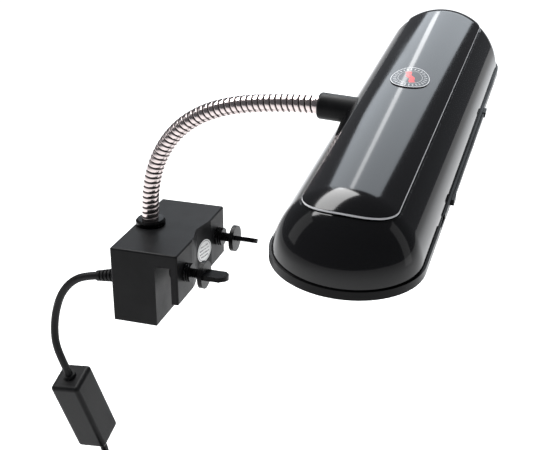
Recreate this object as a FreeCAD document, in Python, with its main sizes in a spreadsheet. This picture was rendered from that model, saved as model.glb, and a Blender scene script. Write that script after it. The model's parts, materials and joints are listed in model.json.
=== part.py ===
import FreeCAD, Part
import Sketcher
import math
import os

from FreeCAD import Matrix, Placement, Rotation, Vector

# Clip-on LED aquarium light.  The saddle clamp hangs on the rim of a tank, a gooseneck rises
# from it, and the long hood hangs from the gooseneck's end over the water.
# Row frame: +X across the glass towards the lamp, +Y along the glass, +Z up.  The origin is on
# the fixed jaw's face, in the middle of its length, level with the two thumb screws.

doc = FreeCAD.newDocument("aquarium_light")

# ---------------------------------------------------------------- driving dimensions (mm, deg)

TABLE = {
    # saddle clamp
    "clamp_length": 84.0,        # along the glass
    "jaw_depth": 30.0,           # fixed jaw, which is the hollow box, across the glass
    "slot_width": 10.6,          # gap between the jaws
    "front_jaw": 4.4,            # thickness of the front jaw
    "clamp_top": 16.5,           # top face above the screws' axis
    "bridge": 8.9,               # thickness of the bridge over the glass
    "box_drop": 34.5,            # bottom of the box below the screws' axis
    "front_drop": 17.0,          # bottom of the front jaw below the screws' axis
    "clamp_wall": 2.5,
    "clamp_round": 1.3,          # outer edge radius
    "recess_depth": 3.4,         # waist in the front jaw between the screws
    "recess_reach": 17.0,        # waist's ends from its deepest line
    "label_half_long": 8.2,
    "label_half_high": 7.7,
    "label_level": -2.2,
    "label_thick": 0.15,
    "cover_thick": 2.2,
    "cover_gap": 0.2,
    "pillar_round": 3.2,         # radius of the screw pillars
    "pillar_inset": 5.5,         # pillar axis from the box's outer faces
    "pilot_round": 1.2,          # radius of a self-tapping screw's pilot hole
    "tapper_round": 1.15,        # radius of a self-tapping screw's shank
    "tapper_head": 2.6,          # radius of its head
    "tapper_head_high": 1.6,
    "screw_free": 0.3,           # clearance hole's radius over the pilot hole's
    "board_thick_driver": 1.6,
    "board_at": -11.0,           # driver board's back face from the fixed jaw's face
    "terminal_at": -10.0,
    # thumb screws
    "screw_spacing": 57.0,
    "screw_round": 2.9,          # thread radius
    "screw_play": 0.05,
    "bush_round": 6.0,
    "bush_high": 4.6,
    "bush_neck": 4.4,
    "disc_round": 8.8,
    "disc_thick": 3.0,
    "disc_stand": 11.0,          # disc's inner face from the front jaw's face
    "wing_long": 14.5,
    "wing_wide": 14.0,
    "wing_thick": 3.0,
    "glass": 6.0,                # pane that the pads rest on
    "pad_round": 5.0,
    "pad_thick": 2.4,
    "near_turn": -8.0,           # how far each wing is turned from level
    "far_turn": -28.0,
    # gooseneck
    "neck_inset": 9.8,           # neck axis from the box's back face
    "neck_round": 5.0,
    "neck_bore": 1.8,
    "ball_round": 4.4,
    "ball_gap": 0.3,
    "rim_gap": 1.9,              # each rim from the ball's centre
    "link": 17.4,                # one neck segment
    "nut_round": 9.7,
    "nut_high": 4.0,
    "lock_nut_round": 7.0,
    "lock_nut_high": 3.6,
    "stub": 1.1,                 # base ferrule above the flange nut
    "ferrule_drop": 10.5,        # base ferrule below the top face
    # head
    "sleeve_slope": 3.2,         # sleeve points down by this angle
    "head_turn": 6.7,            # far end of the hood up by this angle
    "hood_half": 38.0,
    "hood_high": 39.6,
    "hood_straight": 252.0,
    "hood_bulge": 34.0,
    "hood_wall": 2.2,
    "bezel_high": 4.7,
    "bezel_lip": 1.0,
    "bezel_wide": 6.0,
    "sleeve_reach": 55.4,        # neck's last ball to the hood's middle plane
    "sleeve_level": 19.5,        # sleeve's axis above the hood's lower rim
    "sleeve_round": 7.9,
    "sleeve_start": 4.6,
    "sleeve_end": 30.0,          # sleeve's inner end from the neck's last ball
    "sleeve_play": 0.05,
    "end_nut_round": 7.0,
    "end_nut_high": 4.0,
    "panel_half": 23.6,
    "panel_straight": 237.0,
    "panel_bulge": 23.5,
    "panel_rise": 0.9,
    "panel_seat": 0.05,
    "groove_wide": 1.2,
    "groove_deep": 0.8,
    "badge_across": 11.3,        # half width of the oval badge
    "badge_along": 14.6,         # its half length along the hood
    "badge_thick": 0.5,
    "badge_shift": 10.0,         # badge towards the hood's far end
    "lens_thick": 2.2,
    "lens_floor": 1.5,
    "gasket_wide": 2.5,
    "board_half": 31.0,
    "board_level": 7.2,
    "board_thick": 1.6,
    "spreader_thick": 2.0,
    "fin_high": 9.0,
    "fin_thick": 1.4,
    "led_size": 3.5,
    "led_thick": 0.9,
    # strain relief, cord and inline switch
    "relief_y": -22.0,
    "relief_z": -12.0,
    "relief_droop": 10.0,
    "relief_long": 20.3,
    "relief_round": 5.2,
    "relief_neck": 4.6,
    "cord_thick": 5.4,
    "switch_long": 62.0,
    "switch_wide": 24.0,
    "switch_deep": 22.0,
    "switch_wall": 2.0,
    "switch_edge": 3.0,
    "rocker_long": 20.0,
    "rocker_wide": 11.0,
    "coil_round": 31.5,          # middle of the coil's turns
    "coil_wide": 27.9,
    "coil_soft": 2.4,            # rounding of the coil's corners
    # plug
    "plug_wide": 35.3,
    "plug_thick": 13.7,
    "plug_long": 34.0,
    "plug_relief": 20.0,
    "pin_round": 2.0,
    "pin_long": 19.0,
    "pin_spacing": 18.6,
}

sheet = doc.addObject("Spreadsheet::Sheet", "Sizes")
for row, (word, number) in enumerate(TABLE.items(), start=1):
    sheet.set(f"A{row}", word)
    sheet.set(f"B{row}", str(number))
    sheet.setAlias(f"B{row}", word)
doc.recompute()


class Size:
    """A length with the sheet expression that it comes from."""

    def __init__(self, value, text):
        self.value = float(value)
        self.text = text

    def __add__(self, other):
        return joined(self, "+", other)

    def __radd__(self, other):
        return joined(other, "+", self)

    def __sub__(self, other):
        return joined(self, "-", other)

    def __rsub__(self, other):
        return joined(other, "-", self)

    def __mul__(self, other):
        return joined(self, "*", other)

    def __rmul__(self, other):
        return joined(other, "*", self)

    def __truediv__(self, other):
        return joined(self, "/", other)

    def __neg__(self):
        return joined(-1.0, "*", self)

    def __float__(self):
        return self.value


def as_size(thing):
    return thing if isinstance(thing, Size) else Size(thing, repr(float(thing)))


def joined(left, sign, right):
    left, right = as_size(left), as_size(right)
    value = {
        "+": left.value + right.value,
        "-": left.value - right.value,
        "*": left.value * right.value,
        "/": left.value / (right.value or 1.0),
    }[sign]
    return Size(value, f"({left.text} {sign} {right.text})")


class Driving:
    """The sheet's cells by name, as sizes."""

    def __getattr__(self, word):
        return Size(getattr(sheet, word), f"Sizes.{word}")


d = Driving()

# ---------------------------------------------------------------------------- small builders


def bind(thing, prop, size):
    """Sets a property from a size, and ties it to the sheet."""
    size = as_size(size)
    thing.setExpression(prop, size.text)


def place(thing, x=0, y=0, z=0):
    for letter, size in zip("xyz", (x, y, z)):
        bind(thing, f"Placement.Base.{letter}", size)


TURNS = {
    "z": Rotation(),
    "x": Rotation(Vector(0, 1, 0), 90),
    "y": Rotation(Vector(1, 0, 0), -90),
}


def block(name, corner, lengths):
    box = doc.addObject("Part::Box", name)
    for prop, size in zip(("Length", "Width", "Height"), lengths):
        bind(box, prop, size)
    place(box, *corner)
    return box


def rod(name, radius, long, start, along="z"):
    cylinder = doc.addObject("Part::Cylinder", name)
    bind(cylinder, "Radius", radius)
    bind(cylinder, "Height", long)
    cylinder.Placement = Placement(Vector(), TURNS[along])
    place(cylinder, *start)
    return cylinder


def ball(name, radius, centre):
    sphere = doc.addObject("Part::Sphere", name)
    bind(sphere, "Radius", radius)
    place(sphere, *centre)
    return sphere


def fused(name, pieces):
    whole = doc.addObject("Part::MultiFuse", name)
    whole.Shapes = pieces
    whole.Refine = True
    return whole


def cut(name, base, tools):
    tool = tools[0] if len(tools) == 1 else fused(name + "_tools", tools)
    result = doc.addObject("Part::Cut", name)
    result.Base = base
    result.Tool = tool
    result.Refine = True
    return result


def shaped(name, shape):
    """A Part::Feature, for forms that are worked out by Part's own functions."""
    feature = doc.addObject("Part::Feature", name)
    feature.Shape = shape
    return feature


def plane_of(body, role):
    return next(item for item in body.Origin.OriginFeatures if item.Role == role)


def sketch_on(body, role, name, offset=0):
    sketch = body.newObject("Sketcher::SketchObject", name)
    sketch.AttachmentSupport = (plane_of(body, role), [""])
    sketch.MapMode = "FlatFace"
    bind(sketch, "AttachmentOffset.Base.z", offset)
    return sketch


def outline(sketch, points):
    """A closed outline of straight lines, each corner tied to the sheet."""
    first = sketch.GeometryCount
    corners = [Vector(float(x), float(y), 0) for x, y in points]
    count = len(corners)
    for index, corner in enumerate(corners):
        sketch.addGeometry(Part.LineSegment(corner, corners[(index + 1) % count]), False)
    for index in range(count):
        after = first + (index + 1) % count
        sketch.addConstraint(Sketcher.Constraint("Coincident", first + index, 2, after, 1))
    for index, point in enumerate(points):
        for kind, size in zip(("DistanceX", "DistanceY"), point):
            size = as_size(size)
            rule = Sketcher.Constraint(kind, -1, 1, first + index, 1, size.value)
            number = sketch.addConstraint(rule)
            sketch.setExpression(f"Constraints[{number}]", size.text)


def circle(sketch, x, y, radius):
    x, y, radius = as_size(x), as_size(y), as_size(radius)
    shape = Part.Circle(Vector(x.value, y.value, 0), Vector(0, 0, 1), radius.value)
    geometry = sketch.addGeometry(shape, False)
    for kind, size in (("DistanceX", x), ("DistanceY", y)):
        number = sketch.addConstraint(Sketcher.Constraint(kind, -1, 1, geometry, 3, size.value))
        sketch.setExpression(f"Constraints[{number}]", size.text)
    number = sketch.addConstraint(Sketcher.Constraint("Radius", geometry, radius.value))
    sketch.setExpression(f"Constraints[{number}]", radius.text)


def rectangle(x1, y1, x2, y2):
    return [(x1, y1), (x2, y1), (x2, y2), (x1, y2)]


def pad(body, sketch, length, name, both=False, back=False):
    feature = body.newObject("PartDesign::Pad", name)
    feature.Profile = sketch
    bind(feature, "Length", length)
    if both:
        feature.SideType = "Symmetric"
    feature.Reversed = back
    doc.recompute()
    return feature


def pocket(body, sketch, length, name, back=False):
    before = body.Shape.Volume
    feature = body.newObject("PartDesign::Pocket", name)
    feature.Profile = sketch
    bind(feature, "Length", length)
    feature.Reversed = back
    doc.recompute()
    if body.Shape.Volume > before - 0.01:
        raise ValueError(f"{name} cuts nothing")
    return feature


def turned(name, points):
    """A body turned about its Z axis from (radius, height) corners."""
    body = doc.addObject("PartDesign::Body", name)
    sketch = sketch_on(body, "XZ_Plane", name + "_profile")
    outline(sketch, points)
    feature = body.newObject("PartDesign::Revolution", name + "_turn")
    feature.Profile = sketch
    feature.ReferenceAxis = (sketch, ["V_Axis"])
    feature.Angle = 360.0
    doc.recompute()
    return body


def rounded(body, radius, chosen, name):
    """Fillets the edges of a body that the test picks, by their middle points."""
    tip = body.Tip
    names = []
    for number, edge in enumerate(tip.Shape.Edges, start=1):
        middle = edge.valueAt((edge.FirstParameter + edge.LastParameter) / 2)
        if chosen(edge, middle):
            names.append(f"Edge{number}")
    feature = body.newObject("PartDesign::Fillet", name)
    feature.Base = (tip, names)
    bind(feature, "Radius", radius)
    doc.recompute()
    return feature


NODES = []


def node(thing, label, placement=None):
    """Names a finished sub-part, puts it in its place and lists it for writing."""
    thing.Label = label
    if placement is not None:
        thing.Placement = placement
    NODES.append(thing)
    return thing


def near(value, target, slack=0.01):
    return abs(value - float(target)) < slack


# ------------------------------------------------------------------------------ saddle clamp

back = -d.jaw_depth                      # box's back face
front = d.slot_width + d.front_jaw       # front jaw's outer face
ceiling = d.clamp_top - d.bridge         # underside of the bridge
half = d.clamp_length / 2
cover_face = back + d.cover_thick        # cover's inner face
pillar_y = half - d.pillar_inset
pillar_top = d.clamp_top - d.pillar_inset
pillar_low = d.pillar_inset - d.box_drop
PILLARS = [(y, z) for y in (-pillar_y, pillar_y) for z in (pillar_low, pillar_top)]
neck_x = back + d.neck_inset
SCREWS = {"near": -d.screw_spacing / 2, "far": d.screw_spacing / 2}
cavity_low = d.clamp_wall - d.box_drop
cavity_high = d.clamp_top - d.clamp_wall
cavity_side = half - d.clamp_wall


# Driver board, upright inside the box behind the fixed jaw.
BOARD_THICK = d.board_thick_driver
BOARD_X = d.board_at
BOARD_HALF = cavity_side - 9.0
BOARD_LOW = cavity_low + 2.5
BOARD_HIGH = cavity_high - 9.0
BOARD_SCREWS = [
    (y, z)
    for y in (5.0 - BOARD_HALF, BOARD_HALF - 5.0)
    for z in (BOARD_LOW + 5.0, BOARD_HIGH - 5.0)
]


def make_clamp_body():
    body = doc.addObject("PartDesign::Body", "clamp_body")
    saddle = sketch_on(body, "XZ_Plane", "saddle_profile")
    outline(saddle, [
        (back, -d.box_drop), (back, d.clamp_top), (front, d.clamp_top), (front, -d.front_drop),
        (d.slot_width, -d.front_drop), (d.slot_width, ceiling), (0, ceiling), (0, -d.box_drop),
    ])
    pad(body, saddle, d.clamp_length, "saddle", both=True)

    def outer(edge, middle):
        ends = [vertex.Point for vertex in edge.Vertexes]
        upright = near(ends[0].x, ends[1].x) and near(ends[0].y, ends[1].y)
        at_back = near(middle.x, back) and upright
        at_front = near(middle.x, front) and upright
        on_top = near(middle.z, d.clamp_top)
        under = near(middle.z, -d.box_drop) and not near(middle.x, back)
        return at_back or at_front or on_top or under

    rounded(body, d.clamp_round, outer, "outer_edges")
    waist = sketch_on(body, "XY_Plane", "waist_profile", d.clamp_top + 1)
    scoop = [(0.12, 0.76), (0.5, 0.44), (0.88, 0.18), (1.0, 0.0)]
    outline(waist, [(front, -d.recess_reach)] + [
        (front - d.recess_depth * deep, -d.recess_reach * along) for deep, along in scoop
    ] + [(front, d.recess_reach), (front + 2, d.recess_reach), (front + 2, -d.recess_reach)])
    pocket(body, waist, d.clamp_top + d.front_drop + 2, "waist")
    hollow = sketch_on(body, "YZ_Plane", "hollow_profile", back)
    outline(hollow, rectangle(-cavity_side, cavity_low, cavity_side, cavity_high))
    pocket(body, hollow, d.jaw_depth - d.clamp_wall, "hollow", back=True)
    pillars = sketch_on(body, "YZ_Plane", "pillar_profile", cover_face)
    for y, z in PILLARS:
        circle(pillars, y, z, d.pillar_round)
    pad(body, pillars, d.jaw_depth - d.cover_thick - d.clamp_wall / 2, "pillars")
    pilots = sketch_on(body, "YZ_Plane", "pilot_profile", cover_face)
    for y, z in PILLARS:
        circle(pilots, y, z, d.pilot_round)
    pocket(body, pilots, 12, "pilot_holes", back=True)
    bushes = sketch_on(body, "YZ_Plane", "bush_hole_profile", d.slot_width)
    for y in SCREWS.values():
        circle(bushes, y, 0, d.bush_neck)
    pocket(body, bushes, d.front_jaw, "bush_holes", back=True)
    top = sketch_on(body, "XY_Plane", "neck_hole_profile", d.clamp_top)
    circle(top, neck_x, 0, d.neck_round)
    pocket(body, top, d.clamp_wall, "neck_hole")
    stands = sketch_on(body, "YZ_Plane", "stand_profile", BOARD_X + BOARD_THICK)
    for y, z in BOARD_SCREWS:
        circle(stands, y, z, d.pillar_round)
    pad(body, stands, -d.clamp_wall / 2 - BOARD_X - BOARD_THICK, "board_stands")
    stand_holes = sketch_on(body, "YZ_Plane", "stand_hole_profile", BOARD_X + BOARD_THICK)
    for y, z in BOARD_SCREWS:
        circle(stand_holes, y, z, d.pilot_round)
    pocket(body, stand_holes, 5, "stand_holes", back=True)
    node(body, "clamp_body")


def tapping_screw(name, head_at, y, z, long):
    """A self-tapping screw that points along +X, its head's inner face at head_at."""
    head = rod(name + "_head", d.tapper_head, d.tapper_head_high,
               (head_at - d.tapper_head_high, y, z), "x")
    slot = block(name + "_slot", (head_at - d.tapper_head_high - 0.1, y - 2.0, z - 0.35),
                 (0.8, 4.0, 0.7))
    shank = rod(name + "_shank", d.tapper_round, long, (head_at, y, z), "x")
    return cut(name, fused(name + "_solid", [head, shank]), [slot])


def make_back_cover():
    body = doc.addObject("PartDesign::Body", "back_cover")
    side = cavity_side - d.cover_gap
    low = cavity_low + d.cover_gap
    high = cavity_high - d.cover_gap
    plate = sketch_on(body, "YZ_Plane", "plate_profile", back)
    outline(plate, rectangle(-side, low, side, high))
    pad(body, plate, d.cover_thick, "plate")
    holes = sketch_on(body, "YZ_Plane", "cover_holes", back)
    for y, z in PILLARS:
        circle(holes, y, z, d.pilot_round + d.screw_free)
    circle(holes, d.relief_y, d.relief_z, d.relief_neck + 0.1)
    pocket(body, holes, d.cover_thick, "screw_holes", back=True)
    sinks = sketch_on(body, "YZ_Plane", "cover_sinks", back)
    for y, z in PILLARS:
        circle(sinks, y, z, d.tapper_head + 0.2)
    pocket(body, sinks, d.cover_thick / 2, "screw_sinks", back=True)
    node(body, "back_cover")
    screws = [
        tapping_screw(f"cover_screw_{number}", back + d.cover_thick / 2, y, z, 10.0)
        for number, (y, z) in enumerate(PILLARS, start=1)
    ]
    node(fused("cover_screws", screws), "cover_screws")


def make_label():
    """Oval rating label, stuck on the waist's even flank between the thumb screws."""
    disc = Part.makeCylinder(1.0, float(d.label_thick), Vector(), Vector(1, 0, 0))
    squash = Matrix()
    squash.scale(1.0, float(d.label_half_long), float(d.label_half_high))
    deep, reach = float(d.recess_depth), float(d.recess_reach)
    middle = Vector(float(front) - deep / 2, reach / 2, float(d.label_level))
    flank = Rotation(Vector(0, 0, 1), -math.degrees(math.atan2(deep, reach)))
    node(shaped("rating_label", disc.transformGeometry(squash)), "rating_label",
         Placement(middle, flank))


def make_bushes():
    for side, y in SCREWS.items():
        collar = rod(f"collar_{side}", d.bush_round, d.bush_high, (front, y, 0), "x")
        throat = rod(f"throat_{side}", d.bush_neck, d.front_jaw, (d.slot_width, y, 0), "x")
        bore = rod(f"bush_bore_{side}", d.screw_round + d.screw_play,
                   d.front_jaw + d.bush_high + 2, (d.slot_width - 1, y, 0), "x")
        bush = cut(f"bush_{side}", fused(f"bush_solid_{side}", [collar, throat]), [bore])
        node(bush, f"screw_bush_{side}")


def make_thumb_screws():
    """Each screw is a thread, a disc and a flat wing; its nose sits in a pressure pad."""
    disc_at = front + d.disc_stand
    nose = d.glass + d.pad_thick / 2
    for side, y in SCREWS.items():
        angle = getattr(d, f"{side}_turn")
        thread = rod(f"thread_{side}", d.screw_round, disc_at - nose + 1, (nose, 0, 0), "x")
        disc = rod(f"disc_{side}", d.disc_round, d.disc_thick, (disc_at, 0, 0), "x")
        wing_at = disc_at + d.disc_thick
        wing = block(f"wing_{side}", (wing_at - 0.5, -d.wing_wide / 2, -d.wing_thick / 2),
                     (d.wing_long - d.wing_wide / 4 + 0.5, d.wing_wide, d.wing_thick))
        tip = rod(f"wing_tip_{side}", d.wing_wide / 2, d.wing_thick,
                  (wing_at + d.wing_long - d.wing_wide / 2, 0, -d.wing_thick / 2))
        screw = fused(f"screw_{side}", [thread, disc, wing, tip])
        screw.Placement = Placement(Vector(0, float(y), 0), Rotation(Vector(1, 0, 0), float(angle)))
        bind(screw, "Placement.Base.y", y)
        node(screw, f"thumb_screw_{side}")
        plate = rod(f"pad_plate_{side}", d.pad_round, d.pad_thick, (d.glass, y, 0), "x")
        cup = rod(f"pad_cup_{side}", d.screw_round + d.screw_play, d.pad_thick,
                  (nose - d.screw_play, y, 0), "x")
        node(cut(f"pad_{side}", plate, [cup]), f"pressure_pad_{side}")


# ---------------------------------------------------------------- what the clamp's box holds


def make_neck_mounting():
    """Threaded base ferrule through the top wall, a round nut outside and a hexagon inside."""
    flange = turned("neck_flange_nut", [
        (d.neck_round + 0.02, 0), (d.nut_round, 0), (d.nut_round, d.nut_high - 1.2),
        (d.nut_round - 1.2, d.nut_high), (d.neck_round + 0.02, d.nut_high),
    ])
    foot = Vector(float(neck_x), 0, float(d.clamp_top))
    node(flange, "neck_flange_nut", Placement(foot, Rotation()))
    bind(flange, "Placement.Base.z", d.clamp_top)
    inside = d.clamp_top - d.clamp_wall
    hexagon = doc.addObject("Part::Prism", "lock_hexagon")
    hexagon.Polygon = 6
    bind(hexagon, "Circumradius", d.lock_nut_round)
    bind(hexagon, "Height", d.lock_nut_high)
    place(hexagon, neck_x, 0, inside - d.lock_nut_high)
    bore = rod("lock_bore", d.neck_round + 0.02, d.lock_nut_high + 2,
               (neck_x, 0, inside - d.lock_nut_high - 1))
    node(cut("lock_nut", hexagon, [bore]), "neck_lock_nut")
    foot = d.clamp_top - d.ferrule_drop
    rise = d.ferrule_drop + d.nut_high + d.stub
    tube = rod("ferrule_tube", d.neck_round - 0.02, rise, (neck_x, 0, foot))
    knuckle = ball("ferrule_ball", d.ball_round, (neck_x, 0, foot + rise + d.rim_gap))
    bore = rod("ferrule_bore", d.neck_bore, rise + 20, (neck_x, 0, foot - 1))
    ferrule = cut("base_ferrule", fused("base_ferrule_solid", [tube, knuckle]), [bore])
    node(ferrule, "neck_base_ferrule")


def make_driver():
    """LED driver board with its transformer, capacitors and terminal block."""
    plate = block("board_plate", (BOARD_X, -BOARD_HALF, BOARD_LOW),
                  (BOARD_THICK, BOARD_HALF * 2, BOARD_HIGH - BOARD_LOW))
    holes = [
        rod(f"board_hole_{number}", d.pilot_round + d.screw_free, BOARD_THICK + 2, (BOARD_X - 1, y, z), "x")
        for number, (y, z) in enumerate(BOARD_SCREWS, start=1)
    ]
    node(cut("driver_plate", plate, holes), "driver_board")
    screws = [
        tapping_screw(f"board_screw_{number}", BOARD_X, y, z, 5.5)
        for number, (y, z) in enumerate(BOARD_SCREWS, start=1)
    ]
    node(fused("board_screws", screws), "board_screws")
    middle = (BOARD_LOW + BOARD_HIGH) / 2
    core = block("core", (BOARD_X - 12, 4, middle - 8), (12, 16, 16))
    winding = block("winding", (BOARD_X - 11, 2, middle - 5), (10, 20, 10))
    node(fused("transformer", [core, winding]), "driver_transformer")
    cans = [
        rod(f"capacitor_{number}", 3.6, 11.0, (BOARD_X - 11, y, BOARD_LOW + 5.5), "x")
        for number, y in enumerate((-16, -7), start=1)
    ]
    node(fused("capacitors", cans), "driver_capacitors")
    strip = block("strip", (BOARD_X - 9, d.terminal_at, d.relief_z - 4), (9, 9, 8))
    ways = [
        rod(f"way_{number}", 0.9, 6.0, (BOARD_X - 4.5, d.terminal_at - 1, d.relief_z + 1.6 * side), "y")
        for number, side in enumerate((-1, 1), start=1)
    ]
    node(cut("terminals", strip, ways), "terminal_block")


def lead(name, radius, points):
    """A wire of straight runs joined by tangent arcs."""
    return pipe(route([Vector(*point) for point in points])[0], radius, name)


def make_leads():
    """Mains leads from the cord to the terminals, and lamp leads up into the gooseneck."""
    y, z = float(d.relief_y), float(d.relief_z)
    start = float(cover_face) + 4.2
    deep = float(BOARD_X) - 4.5
    block_y = float(d.terminal_at)
    mains = []
    for number, side in enumerate((-1, 1), start=1):
        points = [(start, y, z + 1.2 * side), (deep, y, z + 1.2 * side),
                  (deep, block_y - 4, z + 1.6 * side), (deep, block_y + 4, z + 1.6 * side)]
        mains.append(lead(f"mains_lead_{number}", 0.5, points))
    node(joined_wires("mains_wires", mains), "mains_leads")
    foot = float(d.clamp_top - d.ferrule_drop)
    x = float(neck_x)
    lamp = []
    for number, side in enumerate((-0.8, 0.8), start=1):
        points = [(x, side, foot + 6), (x, side, foot - 2), (x + 2, 9 + 3 * side, foot - 6),
                  (float(BOARD_X) - 0.75, 18 + 4 * side, foot - 6.5)]
        lamp.append(lead(f"lamp_lead_{number}", 0.5, points))
    node(joined_wires("lamp_wires", lamp), "lamp_leads")


# --------------------------------------------------------------------- routes, pipes and cord


def route(points, share=0.45):
    """Straight runs joined by tangent arcs.  Each arc takes the given share of the shorter run
    next to it, so its radius is that length over the tangent of half the turn."""
    edges = []
    radii = []
    here = points[0]
    for before, corner, after in zip(points, points[1:], points[2:]):
        into = (corner - before).normalize()
        out = (after - corner).normalize()
        turn = into.getAngle(out)
        shorter = min((corner - before).Length, (after - corner).Length)
        radius = share * shorter / math.tan(turn / 2)
        radii.append(radius)
        reach = share * shorter
        start, end = corner - into * reach, corner + out * reach
        inward = (out - into).normalize()
        middle = corner + inward * (radius / math.cos(turn / 2) - radius)
        edges.append(Part.LineSegment(here, start).toShape())
        edges.append(Part.Arc(start, middle, end).toShape())
        here = end
    edges.append(Part.LineSegment(here, points[-1]).toShape())
    return Part.Wire(edges), radii


def pipe(wire, radius, name):
    first = wire.Edges[0]
    start = first.valueAt(first.FirstParameter)
    ring = Part.Wire(Part.makeCircle(radius, start, first.tangentAt(first.FirstParameter)))
    solid = wire.makePipeShell([ring], True, False)
    wanted = math.pi * radius ** 2 * wire.Length
    if abs(solid.Volume / wanted - 1) > 0.01:
        raise ValueError(f"{name}: volume {solid.Volume:.1f} is not {wanted:.1f}, section by length")
    return solid


def joined_wires(name, solids):
    return shaped(name, Part.makeCompound(solids))


# ---------------------------------------------------------------------------------- gooseneck

# Each segment's rise above level, from the clamp.
HEADINGS = (86, 76, 63, 49, 33, 20, 11, 6, 3)


def make_neck():
    """Nine ball-and-socket segments.  Gives the place of the last joint."""
    joint = Vector(float(neck_x), 0, float(d.clamp_top + d.nut_high + d.stub + d.rim_gap))
    print("neck joint 1", joint)
    for number, heading in enumerate(HEADINGS, start=1):
        tube = rod(f"link_tube_{number}", d.neck_round, d.link - d.rim_gap * 2, (0, 0, d.rim_gap))
        knuckle = ball(f"link_ball_{number}", d.ball_round, (0, 0, d.link))
        socket = ball(f"link_socket_{number}", d.ball_round + d.ball_gap, (0, 0, 0))
        bore = rod(f"link_bore_{number}", d.neck_bore, d.link + 12, (0, 0, -3))
        solid = fused(f"link_solid_{number}", [tube, knuckle])
        segment = cut(f"link_{number}", solid, [socket, bore])
        turn = Rotation(Vector(0, 1, 0), 90 - heading)
        node(segment, f"neck_segment_{number}", Placement(joint, turn))
        joint = joint + turn.multVec(Vector(0, 0, float(d.link)))
        print("neck joint", number + 1, joint)
    return joint


def make_neck_end(joint):
    """End ferrule, on which the head turns, and the nut that keeps the head on it."""
    stand = Placement(joint, Rotation(Vector(0, 1, 0), float(d.sleeve_slope)))
    nut_at = d.sleeve_end + 0.1
    end = nut_at + d.end_nut_high + 1
    tube = rod("end_tube", d.neck_round, end - d.rim_gap, (d.rim_gap, 0, 0), "x")
    shoulder = rod("end_shoulder", d.neck_round + 0.6, 1.6, (d.sleeve_start - 1.65, 0, 0), "x")
    socket = ball("end_socket", d.ball_round + d.ball_gap, (0, 0, 0))
    bore = rod("end_bore", d.neck_bore, end + 2, (-1, 0, 0), "x")
    ferrule = cut("end_ferrule", fused("end_ferrule_solid", [tube, shoulder]), [socket, bore])
    node(ferrule, "neck_end_ferrule", stand)
    hexagon = doc.addObject("Part::Prism", "end_hexagon")
    hexagon.Polygon = 6
    bind(hexagon, "Circumradius", d.end_nut_round)
    bind(hexagon, "Height", d.end_nut_high)
    hexagon.Placement = Placement(Vector(), TURNS["x"])
    place(hexagon, nut_at)
    bore = rod("end_nut_bore", d.neck_round + 0.02, d.end_nut_high + 2, (nut_at - 1, 0, 0), "x")
    node(cut("end_nut", hexagon, [bore]), "neck_retaining_nut", stand)


# --------------------------------------------------------------------------------------- head
# The head's own frame: +X along the sleeve and across the hood, +Y along the hood to its far
# end, +Z up, with the origin in the middle of the hood's lower rim.


def scaled(shape, x, y, z):
    matrix = Matrix()
    matrix.scale(x, y, z)
    return shape.transformGeometry(matrix)


def half_capsule(half, high, straight, bulge):
    """Half an elliptic tube along Y, with a quarter of an ellipsoid at each end."""
    half, high, straight, bulge = float(half), float(high), float(straight), float(bulge)
    whole = Part.makeCylinder(1.0, straight, Vector(0, -straight / 2, 0), Vector(0, 1, 0))
    upper = whole.common(Part.makeBox(4, straight + 2, 2, Vector(-2, -straight / 2 - 1, 0)))
    quarter = scaled(Part.makeSphere(1.0, Vector(), Vector(0, 0, 1), 0, 90, 180), half, bulge, high)
    far_end = quarter.copy()
    far_end.translate(Vector(0, straight / 2, 0))
    near_end = quarter.copy()
    near_end.rotate(Vector(), Vector(0, 0, 1), 180)
    near_end.translate(Vector(0, -straight / 2, 0))
    return scaled(upper, half, 1.0, high).fuse([far_end, near_end])


def capsule_prism(half, straight, bulge, low, high):
    """An upright prism: a rectangle with half an ellipse at each end."""
    half, straight, bulge = float(half), float(straight), float(bulge)
    low, high = float(low), float(high)
    side = straight / 2
    far_end = Part.ArcOfEllipse(Part.Ellipse(Vector(0, side, low), half, bulge), 0, math.pi)
    near_end = Part.ArcOfEllipse(
        Part.Ellipse(Vector(0, -side, low), half, bulge), math.pi, 2 * math.pi
    )
    edges = [
        Part.LineSegment(Vector(half, -side, low), Vector(half, side, low)).toShape(),
        far_end.toShape(),
        Part.LineSegment(Vector(-half, side, low), Vector(-half, -side, low)).toShape(),
        near_end.toShape(),
    ]
    return Part.Face(Part.Wire(edges)).extrude(Vector(0, 0, high - low))


def upright(x, y, low, high, radius):
    return Part.makeCylinder(float(radius), float(high) - float(low), Vector(x, y, float(low)))


def crown(grow=0.0):
    """The hood's outer form, grown outwards."""
    across, high, bulge = d.hood_half + grow, d.hood_high + grow, d.hood_bulge + grow
    return half_capsule(across, high, d.hood_straight, bulge)


HEAD_SCREWS = [(x, y) for x in (-14, 14) for y in (-100, 100)]
BEZEL_SCREWS = [(0, y) for y in (-1, 1)]


def bezel_screw_y():
    return float(d.hood_straight / 2 + d.hood_bulge - d.hood_wall - 4.3)


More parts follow.
